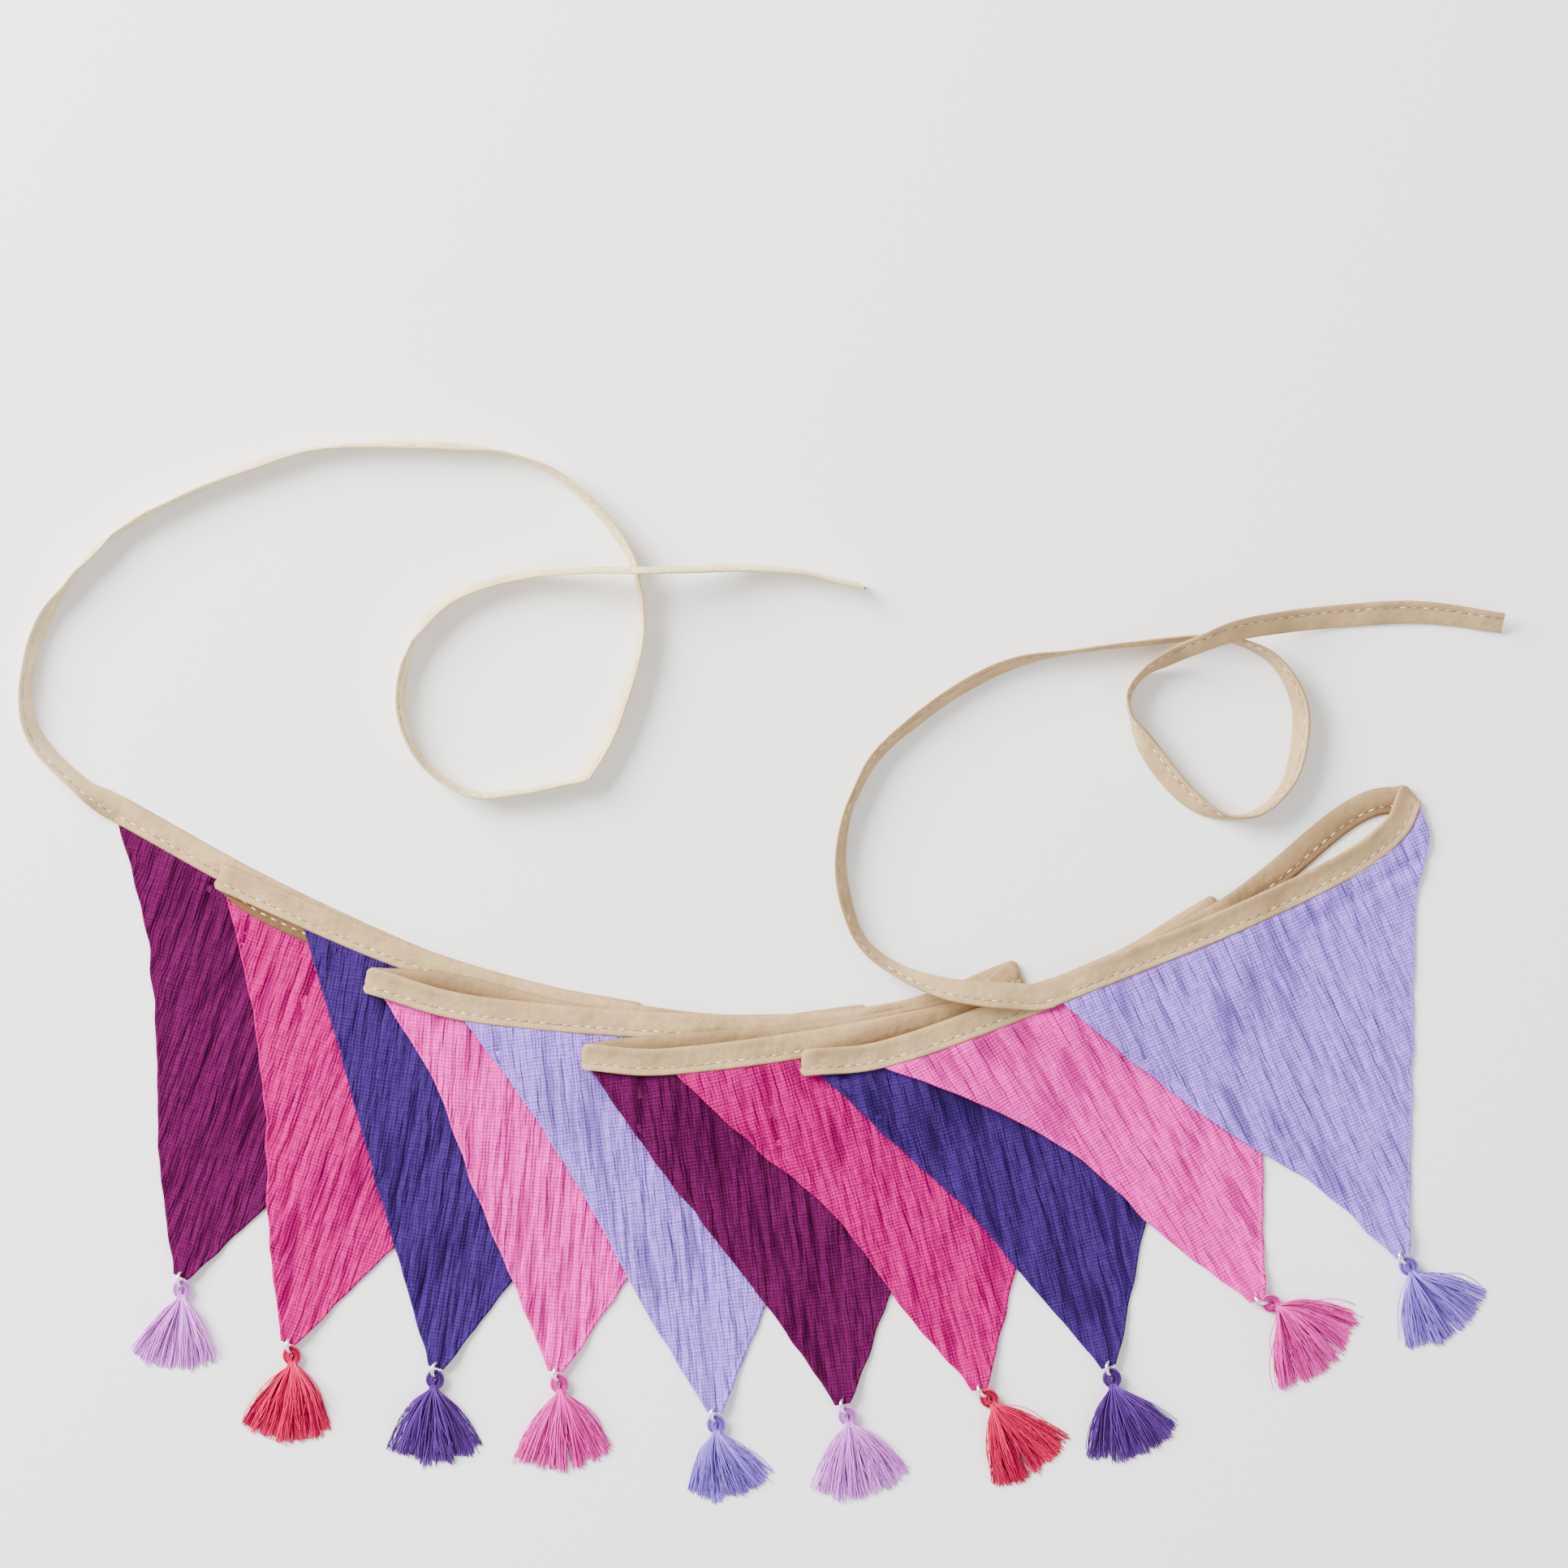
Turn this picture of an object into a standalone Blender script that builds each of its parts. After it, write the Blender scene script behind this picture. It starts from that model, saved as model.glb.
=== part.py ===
"""Fabric bunting laid flat with its pennants fanned: a folded tape carries ten cloth pennants,
each with a wire ring and a thread tassel at its tip, and the tape runs on into two free ties."""

import math

import bmesh
import bpy
import numpy as np
from mathutils import Matrix

for old in list(bpy.data.objects):
    bpy.data.objects.remove(old, do_unlink=True)

MM = 0.001

# Driving dimensions in millimetres
TAPE_WIDTH = 10.0
TAPE_THICKNESS = 1.2
PENNANT_BASE = 154.0
PENNANT_THICKNESS = 1.0
PENNANT_TIP = 3.6
LAYER_GAP = 0.5
RING_RADIUS = 2.6
RING_WIRE = 0.4
RING_LEAN = math.radians(30)
HOLE_RADIUS = 1.1
HOLE_TO_TIP = 2.0
LOOP_RADIUS = 2.2
LOOP_TUBE = 0.8
LOOP_FROM_RING = 3.2
NECK_START = 5.1
NECK_END = 8.2
NECK_WIDTH = 5.4
NECK_HEIGHT = 2.7
LOCK_REST = 0.4
LOCK_RISE = 0.84
TIE_CLEARANCE = 0.08
RUNG_STEP = 13.0
FOLD_BULGE = 1.5
FOLD_BLEND = 9.0

# Moves the tables' origin to the middle of the fan
SHIFT = np.array([0.1, -1.3])

# Each row is a run of the tape, lowest first: the turn of its left and right ends in degrees,
# then the places that its middle line passes, left to right, in millimetres
RUNS = [
    (61, 90, [(-250, 123.5), (-194.5, 93), (-134, 65.5), (-96.5, 54.5), (-59, 47.5)]),
    (63, 90, [(-211.5, 98.5), (-193, 85.5), (-144.5, 65.5), (-100, 53), (-59, 47.5)]),
    (63, 84, [(-211.5, 98.5), (-153.5, 73), (-108.5, 58), (-54.5, 46), (-12, 42.5), (23.5, 46.5)]),
    (75, 84, [(-157, 60.5), (-126.5, 58), (-79, 46.5), (-24.5, 41.5), (23.5, 46.5)]),
    (75, 111, [(-157, 60.5), (-114.5, 49.5), (-24.5, 43), (36.5, 47.5), (80.5, 63)]),
    (84, 111, [(-77, 32.5), (-48.5, 36), (6.5, 40), (59.5, 50), (80.5, 63)]),
    (84, 118, [(-77, 32.5), (-45.5, 31), (23.5, 40.5), (103, 59), (154.5, 87)]),
    (82, 118, [(4, 30.5), (37, 42), (95.5, 56), (130, 70), (154.5, 87)]),
    (82, 133, [(4, 30.5), (35.5, 34.5), (95.5, 56.5), (158, 85.5), (205, 122), (226.5, 128)]),
    (111, 133, [(95.5, 56.5), (155.5, 80.5), (200.5, 101.5), (220.5, 116), (226.5, 128)]),
]

# Each row is a pennant: start of its top edge along the run, its gap from the tape, tip x and y,
# and how far its left edge bows in at a quarter, half and three quarters of its depth
PENNANTS = [
    (1.0, 0.6, -227.5, -49.0, 5.5, 4.0, 0.0),
    (3.0, 1.0, -187.5, -73.5, 4.3, 4.3, 0.3),
    (34.0, 0.6, -133.0, -82.5, 0.3, 0.0, 0.0),
    (4.0, 0.6, -88.5, -84.0, 5.0, 2.5, 1.2),
    (36.0, 0.6, -30.0, -99.0, 3.4, 3.2, 0.3),
    (1.0, 0.6, 17.5, -96.0, -1.0, 0.0, 1.0),
    (32.0, 0.6, 68.0, -90.5, 2.6, 7.0, 2.0),
    (4.0, 0.6, 116.0, -82.0, 2.0, 4.3, 2.0),
    (27.0, 0.6, 170.5, -57.5, 8.5, 10.8, 3.5),
    (0.5, 1.9, 224.0, -41.0, -1.6, -0.8, 3.3),
]

# Each row is a tassel: heading of its head, middle of its skirt and half its spread in degrees
# right of straight down, and the length of its skirt in millimetres
TASSELS = [
    (-2, -9, 31, 26),
    (4, -6, 32, 28),
    (-7, 3, 33, 27),
    (7, 3, 34, 28),
    (5, 18, 35, 24),
    (14, 13, 35, 27),
    (35, 33, 30, 29),
    (10, 19, 35, 27),
    (63, 38, 39, 29),
    (27, 38, 36, 27),
]

# Routes of the ties in millimetres: x, y, width seen from above, lift above the ground
LEFT_TIE = [
    (-250.4, 123.7, 10, 0), (-256.2, 126.9, 9.5, 0), (-265, 133, 6.4, 0), (-281, 150, 5.8, 0),
    (-284.5, 170, 4.5, 0), (-277, 195, 5, 0), (-260, 218, 3.3, 0), (-241, 232, 1.8, 0), (-204, 249, 3, 0),
    (-174, 257, 1.9, 0), (-126, 257.5, 3, 0), (-97, 252, 1.8, 0), (-78, 239, 3.3, 0),
    (-62, 219, 3.3, 0), (-57, 200, 1.8, 0), (-58, 182, 3, 0), (-68, 153, 4.6, 0),
    (-76, 139, 5, 0), (-78, 135, 3.4, 0), (-82.5, 133.5, 1.8, 0), (-102, 130, 2.4, 0),
    (-121, 129.5, 2.8, 0), (-138, 141, 2.7, 0), (-146, 159, 3.2, 0), (-144.5, 177, 3, 0),
    (-139, 190, 3, 0), (-126, 202, 3.6, 0), (-105, 209, 3.2, 0), (-80, 211.5, 2.8, 5),
    (-57.5, 211.5, 3, 11), (-38, 212, 3, 6), (-18, 212.5, 2.8, 1), (2, 211, 2.1, 0),
    (25, 205.5, 2.1, 0),
]
RIGHT_TIE = [
    (95.05, 56.3, 10, 0), (90.4, 54.5, 10, 0), (81, 54.8, 10, 0), (67, 56, 9.4, 0), (54, 58, 7.8, 0),
    (38, 64, 5.1, 0), (24, 75, 4.5, 0), (17, 95, 4.8, 0), (17, 114, 3.9, 0),
    (22, 130, 3.4, 0), (31, 145, 4.2, 0), (54, 164, 4.8, 0), (78, 177, 4.5, 0),
    (102, 182, 1.5, 0), (126, 185, 1.9, 0), (147, 187, 2.2, 0), (162, 186, 2.7, 0),
    (177, 178.5, 4.2, 0), (186, 162, 5.8, 0), (185, 143, 5.7, 0), (179, 129.5, 3.9, 0),
    (168, 121.5, 2.4, 0), (155, 122, 3.8, 0), (142, 131, 7.5, 0), (129, 148, 6.6, 0),
    (122.5, 163, 1.6, 0), (127, 173, 2.8, 0), (138, 180, 5.7, 4), (150, 185, 6.5, 10),
    (162, 189.5, 7.5, 10.5), (178, 192.5, 8, 4), (200, 195, 8.4, 0), (230, 196.5, 8.2, 0),
    (261, 192.5, 7.2, 0),
]

CLOTHS = ["7C2A69", "E8308A", "4B3A88", "F083C0", "B3A4DA"]
THREADS = ["C592DA", "D81C4C", "5F4192", "F270AE", "8F88C8"]


# Materials
def linear(hexcode):
    """Linear colour of an sRGB hex code."""
    parts = [int(hexcode[i:i + 2], 16) / 255 for i in (0, 2, 4)]
    return [c / 12.92 if c <= 0.04045 else ((c + 0.055) / 1.055) ** 2.4 for c in parts] + [1.0]


def material(name, hexcode, roughness, metallic=0.0):
    made = bpy.data.materials.new(name)
    made.use_nodes = True
    shader = made.node_tree.nodes["Principled BSDF"]
    shader.inputs["Base Color"].default_value = linear(hexcode)
    shader.inputs["Roughness"].default_value = roughness
    shader.inputs["Metallic"].default_value = metallic
    return made


parts = bpy.data.collections.new("fabric_bunting")
cutters = bpy.data.collections.new("cutters")
bpy.context.scene.collection.children.link(parts)
bpy.context.scene.collection.children.link(cutters)


def add_object(name, bm, finish, home=parts):
    """Turns a bmesh in millimetres into an object in metres."""
    bmesh.ops.recalc_face_normals(bm, faces=bm.faces)
    bmesh.ops.scale(bm, vec=(MM, MM, MM), verts=bm.verts)
    mesh = bpy.data.meshes.new(name)
    bm.to_mesh(mesh)
    bm.free()
    obj = bpy.data.objects.new(name, mesh)
    home.objects.link(obj)
    if home is cutters:
        obj.hide_render = True
        obj.display_type = "WIRE"
    else:
        mesh.materials.append(finish)
    return obj


# Smooth lines through a table's places
def smooth_line(knots, per_span=24):
    """Points of a Catmull-Rom curve through the knots, every column alike."""
    knots = np.array(knots, float)
    padded = np.vstack([2 * knots[0] - knots[1], knots, 2 * knots[-1] - knots[-2]])
    t = np.linspace(0, 1, per_span, endpoint=False)[:, None]
    pieces = []
    for a, b, c, d in zip(padded, padded[1:], padded[2:], padded[3:]):
        pieces.append(0.5 * (2 * b + (c - a) * t + (2 * a - 5 * b + 4 * c - d) * t ** 2
                             + (3 * b - a - 3 * c + d) * t ** 3))
    return np.vstack(pieces + [knots[-1:]])


def lengths_along(line):
    return np.concatenate([[0], np.cumsum(np.hypot(*np.diff(line[:, :2], axis=0).T))])


def pick(line, distances):
    """The line's columns at the given distances from its start."""
    reach = lengths_along(line)
    return np.stack([np.interp(distances, reach, column) for column in line.T], axis=1)


def headings(line):
    """Direction of travel in radians at each point."""
    step = np.gradient(line[:, :2], axis=0)
    return np.unwrap(np.arctan2(step[:, 1], step[:, 0]))


# The pile: heights of the cloth laid so far, on a square grid
CELL = 2.0
PILE_CORNER = np.array([-280.0, -130.0])
pile = np.zeros((280, 150))
SIDES = np.linspace(0.0, 1.0, 11)


def spread(heights, cells):
    """The largest height within some cells of each cell."""
    for axis in (0, 1):
        heights = np.max([np.roll(heights, k, axis) for k in range(-cells, cells + 1)], axis=0)
    return heights


def blur(heights, cells):
    for axis in (0, 1):
        heights = np.mean([np.roll(heights, k, axis) for k in range(-cells, cells + 1)], axis=0)
    return heights


def cell_of(x, y):
    column = np.clip(np.round((x - PILE_CORNER[0]) / CELL).astype(int), 0, pile.shape[0] - 1)
    row = np.clip(np.round((y - PILE_CORNER[1]) / CELL).astype(int), 0, pile.shape[1] - 1)
    return column, row


def between(values, a, b):
    """Value inside every cell of a grid, a and b of the way across it."""
    return ((1 - a) * (1 - b) * values[:-1, :-1] + a * (1 - b) * values[1:, :-1]
            + (1 - a) * b * values[:-1, 1:] + a * b * values[1:, 1:])


def rest_heights(grid, thickness, least=0.0):
    """Middle heights at which a sheet clears the pile beneath it and rests on the ground beside it."""
    soft = blur(blur(spread(pile, 4), 2), 1)[cell_of(grid[..., 0], grid[..., 1])]
    near = spread(pile, 1)
    middle = soft + LAYER_GAP * np.minimum(1, soft / LAYER_GAP) + thickness / 2
    middle = np.maximum(middle, least)
    for _ in range(40):
        lift = np.zeros_like(middle)
        for a in SIDES:
            for b in SIDES:
                under = near[cell_of(between(grid[..., 0], a, b), between(grid[..., 1], a, b))]
                wanted = under + LAYER_GAP * (under > 0) + thickness / 2
                short = np.maximum(0, wanted - between(middle, a, b))
                weights = {(0, 0): (1 - a) * (1 - b), (1, 0): a * (1 - b),
                           (0, 1): (1 - a) * b, (1, 1): a * b}
                norm = sum(w * w for w in weights.values())
                for (i, j), w in weights.items():
                    corner = lift[i:lift.shape[0] - 1 + i, j:lift.shape[1] - 1 + j]
                    np.maximum(corner, short * w / norm, out=corner)
        if lift.max() < 0.01:
            break
        middle += lift
    return middle


def add_to_pile(grid, middle, thickness):
    for a in SIDES:
        for b in SIDES:
            where = cell_of(between(grid[..., 0], a, b), between(grid[..., 1], a, b))
            np.maximum.at(pile, where, between(middle, a, b) + thickness / 2)


# Cloth sheets: a grid whose points are placed by a table of positions, then thickened
def sheet(name, places, thickness, finish):
    across, along = places.shape[0] - 1, places.shape[1] - 1
    bm = bmesh.new()
    bmesh.ops.create_grid(bm, x_segments=across, y_segments=along, size=1.0)
    for vert in bm.verts:
        i = round((vert.co.x + 1) / 2 * across)
        j = round((vert.co.y + 1) / 2 * along)
        vert.co = places[i, j]
    obj = add_object(name, bm, finish)
    cloth = obj.modifiers.new("thickness", "SOLIDIFY")
    cloth.thickness = thickness * MM
    cloth.offset = 0.0
    return obj


# The tape, run by run, and the pennant that hangs from each run
def run_rungs(left_turn, right_turn, knots):
    """Middle line and half-rung vectors of a run, with the rungs along the fold at each end."""
    line = smooth_line(np.array(knots, float) + SHIFT)
    length = lengths_along(line)[-1]
    line = pick(line, np.linspace(0, length, max(9, round(length / RUNG_STEP)) + 1))
    reach = lengths_along(line)
    square = headings(line) + math.pi / 2
    turn = square.copy()
    for angle, away in ((left_turn, reach), (right_turn, reach[-1] - reach)):
        end = square[0] if away is reach else square[-1]
        turn += (math.radians(angle) - end) * np.exp(-(away / FOLD_BLEND) ** 2)
    half = TAPE_WIDTH / 2 / np.cos(turn - square)
    return line, np.stack([np.cos(turn) * half, np.sin(turn) * half], axis=1)


COLUMNS = np.linspace(0, 1, 10)
COLUMNS = (COLUMNS + 0.5 - 0.5 * np.cos(math.pi * COLUMNS)) / 2


def hanging_edge(line, rungs, start, gap):
    """Points along the lower edge of a run, a little clear of it."""
    edge = line - rungs * (1 + 2 * gap / TAPE_WIDTH)
    return pick(edge, start + COLUMNS * PENNANT_BASE)


DEPTHS = np.array([0, 0.08, 0.17, 0.27, 0.38, 0.5, 0.62, 0.74, 0.85, 0.925, 0.971, 1])
TIP_LIFT = np.interp(DEPTHS, [0, 0.86, 0.93, 0.97, 1], [0, 0, 1.0, 2.15, 2.15])


def pennant_grid(top, tip, bows):
    """Places across and down a pennant between its top edge and its blunt tip."""
    tip = np.array(tip) + SHIFT
    base = top[-1] - top[0]
    base_way = base / np.hypot(*base)
    share = COLUMNS[:, None]
    end = tip + (share - 0.5) * PENNANT_TIP * base_way
    grid = top[:, None] * (1 - DEPTHS)[None, :, None] + end[:, None] * DEPTHS[None, :, None]
    side = end[0] - top[0]
    inward = np.array([-side[1], side[0]]) / np.hypot(*side)
    bow = np.interp(DEPTHS, [0, 0.25, 0.5, 0.75, 1], [0, *bows, 0])
    grid += (1 - share)[:, :, None] * inward * bow[None, :, None]
    return grid


def fold_rungs(low, high, turn, side):
    """Rungs round a fold, from the end of the lower run up to the start of the next."""
    outward = np.array([math.cos(turn - side * math.pi / 2), math.sin(turn - side * math.pi / 2), 0])
    middle, half = (low + high) / 2, (high - low) / 2
    return [middle - half * math.cos(a) + outward * FOLD_BULGE * math.sin(a)
            for a in np.radians([40, 90, 140])]


strips = []
tips = []
cloths = [material("cloth_" + str(k + 1), code, 0.9) for k, code in enumerate(CLOTHS)]
for number, (run, flag) in enumerate(zip(RUNS, PENNANTS)):
    line, rungs = run_rungs(*run)
    strip = np.stack([line - rungs, line + rungs], axis=1)
    strip_middle = rest_heights(strip, TAPE_THICKNESS)
    top = hanging_edge(line, rungs, *flag[:2])
    grid = pennant_grid(top, flag[2:4], flag[4:])
    least = np.broadcast_to(PENNANT_THICKNESS / 2 + TIP_LIFT, grid.shape[:2])
    middle = rest_heights(grid, PENNANT_THICKNESS, least)
    below_last = pile.copy()
    add_to_pile(strip, strip_middle, TAPE_THICKNESS)
    add_to_pile(grid, middle, PENNANT_THICKNESS)
    strips.append(np.dstack([strip, strip_middle]))
    name = "pennant_%02d" % (number + 1)
    pennant = sheet(name, np.dstack([grid, middle]), PENNANT_THICKNESS, cloths[number % 5])
    axis = grid[4:6, -1].mean(axis=0) - top.mean(axis=0)
    axis /= np.hypot(*axis)
    hole = grid[4:6, -1].mean(axis=0) - axis * HOLE_TO_TIP
    tips.append((pennant, hole, middle[4:6, -1].mean()))

# Binding: the ten runs joined by their folds
places = []
for number, strip in enumerate(strips):
    travel = strip if number % 2 == 0 else strip[::-1]
    if places:
        side = 1 if number % 2 else -1
        turn = math.radians(RUNS[number][1] if number % 2 else RUNS[number][0])
        places += fold_rungs(places[-1], travel[0], turn, side)
    places += list(travel)
tape_cotton = ("CBB49A", 0.85)
sheet("binding", np.array(places), TAPE_THICKNESS, material("binding_cotton", *tape_cotton))


# Ties: narrow tape on a free route, standing on its lower edge where it looks narrow from above
def tie(name, route, first_turn, finish, ground):
    line = smooth_line(np.array(route, float) + np.append(SHIFT, [0, 0]))
    length = lengths_along(line)[-1]
    line = pick(line, np.linspace(0, length, round(length / 9.0)))
    seen = np.clip(line[:, 2], TAPE_THICKNESS + 0.3, TAPE_WIDTH)
    roll = np.arccos(np.clip((seen - TAPE_THICKNESS) / (TAPE_WIDTH - TAPE_THICKNESS), 0, 1))
    square = headings(line) + math.pi / 2
    square[0] = math.radians(first_turn)
    under = blur(blur(spread(ground, 4), 2), 1)[cell_of(line[:, 0], line[:, 1])]
    under += LAYER_GAP * np.minimum(1, under / LAYER_GAP)
    middle = (under + TIE_CLEARANCE + np.maximum(0, line[:, 3]) + TAPE_WIDTH / 2 * np.sin(roll)
              + TAPE_THICKNESS / 2 * np.cos(roll))
    centre = np.column_stack([line[:, :2], middle])
    half = np.column_stack([np.cos(square) * np.cos(roll), np.sin(square) * np.cos(roll),
                            np.sin(roll)]) * TAPE_WIDTH / 2
    print(name, "length", round(length), "mm")
    return sheet(name, np.stack([centre - half, centre + half], axis=1), TAPE_THICKNESS, finish)


tie("tie_left", LEFT_TIE, 241, material("tie_left_cotton", *tape_cotton), np.zeros_like(pile))
tie("tie_right", RIGHT_TIE, 291, material("tie_right_cotton", *tape_cotton), below_last)


# Rings and tassels
def placed(bm, x, y, z, heading):
    """Turns a shape about the vertical to a heading, then moves it into place."""
    spot = Matrix.Translation((x, y, z)) @ Matrix.Rotation(heading, 4, "Z")
    bmesh.ops.transform(bm, matrix=spot, verts=bm.verts)
    return bm


def torus(radius, tube, around, sides):
    """A ring standing in the XZ plane."""
    bm = bmesh.new()
    bmesh.ops.create_circle(bm, segments=sides, radius=tube)
    bmesh.ops.translate(bm, vec=(radius, 0, 0), verts=bm.verts)
    bmesh.ops.spin(bm, geom=bm.verts[:] + bm.edges[:], cent=(0, 0, 0), axis=(0, 1, 0),
                   angle=2 * math.pi, steps=around, use_merge=True)
    bmesh.ops.remove_doubles(bm, verts=bm.verts, dist=0.001)
    return bm


def skirt(bend, half_spread, length):
    """Neck block with a skirt of separate locks grown from its end face."""
    columns, rows = 6, 3
    bm = bmesh.new()
    bmesh.ops.create_grid(bm, x_segments=columns, y_segments=rows, size=0.5)
    bmesh.ops.scale(bm, vec=(NECK_WIDTH, NECK_HEIGHT, 1), verts=bm.verts)
    bmesh.ops.rotate(bm, matrix=Matrix.Rotation(math.pi / 2, 3, "X"), verts=bm.verts)
    bmesh.ops.rotate(bm, matrix=Matrix.Rotation(math.pi / 2, 3, "Z"), verts=bm.verts)
    bmesh.ops.translate(bm, vec=(NECK_END, 0, NECK_HEIGHT / 2), verts=bm.verts)
    ends = bm.faces[:]
    grown = bmesh.ops.extrude_face_region(bm, geom=ends)
    back = [v for v in grown["geom"] if isinstance(v, bmesh.types.BMVert)]
    bmesh.ops.translate(bm, vec=(NECK_START - NECK_END, 0, 0), verts=back)
    bmesh.ops.scale(bm, vec=(1, 0.5, 0.8), verts=back)
    bmesh.ops.recalc_face_normals(bm, faces=bm.faces)
    ends = [f for f in bm.faces if f.calc_center_median().x > NECK_END - 0.01]
    bmesh.ops.inset_individual(bm, faces=ends, thickness=0.1)
    locks = bmesh.ops.extrude_discrete_faces(bm, faces=ends)["faces"]
    for lock in locks:
        root = lock.calc_center_median()
        column = math.floor((root.y / NECK_WIDTH + 0.5) * columns)
        row = math.floor(root.z / NECK_HEIGHT * rows)
        share = ((column + 0.5) * 3 + (row - 1)) / (3 * columns) * 2 - 1
        angle = bend + share * half_spread
        reach = length * (1 - 0.1 * abs(share) - 0.06 * ((column * 5 + row * 3) % 4) / 3)
        for vert in lock.verts:
            wide = (vert.co.y - root.y) * 2.4
            tall = (vert.co.z - root.z) * 1.05
            vert.co.x = NECK_END + math.cos(angle) * reach - math.sin(angle) * wide
            vert.co.y = root.y * 0.4 + math.sin(angle) * reach + math.cos(angle) * wide
            vert.co.z = LOCK_REST + row * LOCK_RISE + tall
    return bm


threads = [material("thread_" + str(k + 1), code, 0.7) for k, code in enumerate(THREADS)]
steel = material("ring_steel", "B9BBBE", 0.25, 1.0)
for number, ((pennant, hole, height), (head, middle, half_spread, length)) in enumerate(
        zip(tips, TASSELS)):
    heading = math.radians(head - 90)
    way = np.array([math.cos(heading), math.sin(heading)])
    ring_at = hole + way * RING_RADIUS
    rise = RING_RADIUS * math.cos(RING_LEAN) + RING_WIRE
    label = "_%02d" % (number + 1)

    bore = bmesh.new()
    bmesh.ops.create_cone(bore, cap_ends=True, segments=8, radius1=HOLE_RADIUS,
                          radius2=HOLE_RADIUS, depth=4.0)
    cutter = add_object("bore" + label, placed(bore, *hole, height, 0), None, cutters)
    cut = pennant.modifiers.new("ring_hole", "BOOLEAN")
    cut.operation, cut.solver, cut.object = "DIFFERENCE", "EXACT", cutter

    ring = torus(RING_RADIUS, RING_WIRE, 12, 5)
    bmesh.ops.rotate(ring, matrix=Matrix.Rotation(RING_LEAN, 3, "X"), verts=ring.verts)
    add_object("ring" + label, placed(ring, *ring_at, rise, heading), steel)

    loop = torus(LOOP_RADIUS, LOOP_TUBE, 10, 5)
    bmesh.ops.rotate(loop, matrix=Matrix.Rotation(math.pi / 2, 3, "X"), verts=loop.verts)
    bmesh.ops.rotate(loop, matrix=Matrix.Rotation(math.radians(14), 3, "Y"), verts=loop.verts)
    bmesh.ops.translate(loop, vec=(LOOP_FROM_RING, 0, 1.9), verts=loop.verts)
    eye = add_object("eye" + label, placed(loop, *ring_at, 0, heading), None, cutters)
    turned = math.radians(middle - head)
    body = placed(skirt(turned, math.radians(half_spread), length), *ring_at, 0, heading)
    tassel = add_object("tassel" + label, body, threads[number % 5])
    join = tassel.modifiers.new("head_loop", "BOOLEAN")
    join.operation, join.solver, join.object = "UNION", "EXACT", eye
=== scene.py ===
# %% [markdown]
# # Fabric bunting, laid flat with its pennants fanned
# Ten gauze pennants hang from one cotton tape. The tape lies folded back on itself, run over run,
# and its two free ends are the ties. A small wire ring joins a thread tassel to each tip.
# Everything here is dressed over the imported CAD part, in the same place and at the same size.

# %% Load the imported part
import math
import random

import bmesh
import bpy
import numpy as np
from mathutils import Matrix, Vector, noise


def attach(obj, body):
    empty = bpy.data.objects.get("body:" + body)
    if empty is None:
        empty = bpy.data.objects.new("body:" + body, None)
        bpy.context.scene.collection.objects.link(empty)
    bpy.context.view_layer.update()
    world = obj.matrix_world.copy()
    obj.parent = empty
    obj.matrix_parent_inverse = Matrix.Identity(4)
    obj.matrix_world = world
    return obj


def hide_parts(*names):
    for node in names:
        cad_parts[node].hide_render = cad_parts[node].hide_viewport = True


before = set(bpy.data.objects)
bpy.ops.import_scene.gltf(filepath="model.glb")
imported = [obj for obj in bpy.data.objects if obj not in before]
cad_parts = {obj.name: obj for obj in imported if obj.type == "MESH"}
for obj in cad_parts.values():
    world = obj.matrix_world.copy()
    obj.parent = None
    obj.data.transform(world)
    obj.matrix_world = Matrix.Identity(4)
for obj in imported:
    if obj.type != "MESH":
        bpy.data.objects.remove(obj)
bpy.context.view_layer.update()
MM = 0.001
chance = random.Random(7)

# %% [markdown]
# ## Camera and light
# The bunting was seen from straight above, so a long lens looks down on a pale floor. A wide soft
# light from the upper left and a paler sky give the gentle shading that shows cloth best. A small
# hard lamp would draw every crinkle too black.

# %% Camera and light
FRAME_SIDE = 579.6 * MM
FRAME_CENTRE = (-4.4 * MM, 131.75 * MM)
CAMERA_HEIGHT = 3.0
SENSOR = 36.0
SKY_STRENGTH = 0.85
camera_lens = bpy.data.cameras.new("overhead")
camera_lens.sensor_width = SENSOR
camera_lens.lens = SENSOR * CAMERA_HEIGHT / FRAME_SIDE
camera = bpy.data.objects.new("overhead", camera_lens)
camera.location = (*FRAME_CENTRE, CAMERA_HEIGHT)
bpy.context.scene.collection.objects.link(camera)
bpy.context.scene.camera = camera


def linear(code):
    """Linear colour of an sRGB hex code."""
    parts = [int(code[i:i + 2], 16) / 255 for i in (0, 2, 4)]
    return [c / 12.92 if c <= 0.04045 else ((c + 0.055) / 1.055) ** 2.4 for c in parts] + [1.0]


def shade(code, factor):
    """The same colour made darker or lighter."""
    return [min(1.0, c * factor) for c in linear(code)[:3]] + [1.0]


sky = bpy.data.worlds.new("studio")
sky.use_nodes = True
background = sky.node_tree.nodes["Background"]
background.inputs["Color"].default_value = linear("FFFFFF")
background.inputs["Strength"].default_value = SKY_STRENGTH
bpy.context.scene.world = sky


def softbox(name, place, power, side):
    """A square light of the given watts and side in metres that looks at the middle."""
    lamp = bpy.data.lights.new(name, "AREA")
    lamp.energy, lamp.size = power, side
    obj = bpy.data.objects.new(name, lamp)
    obj.location = place
    obj.rotation_euler = (-Vector(place)).to_track_quat("-Z", "Y").to_euler()
    bpy.context.scene.collection.objects.link(obj)


softbox("key", (-1.7, 1.2, 1.3), 225.0, 1.5)
softbox("fill", (1.6, -0.8, 2.0), 22.0, 1.6)
print("camera at", tuple(camera.location))

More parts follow.
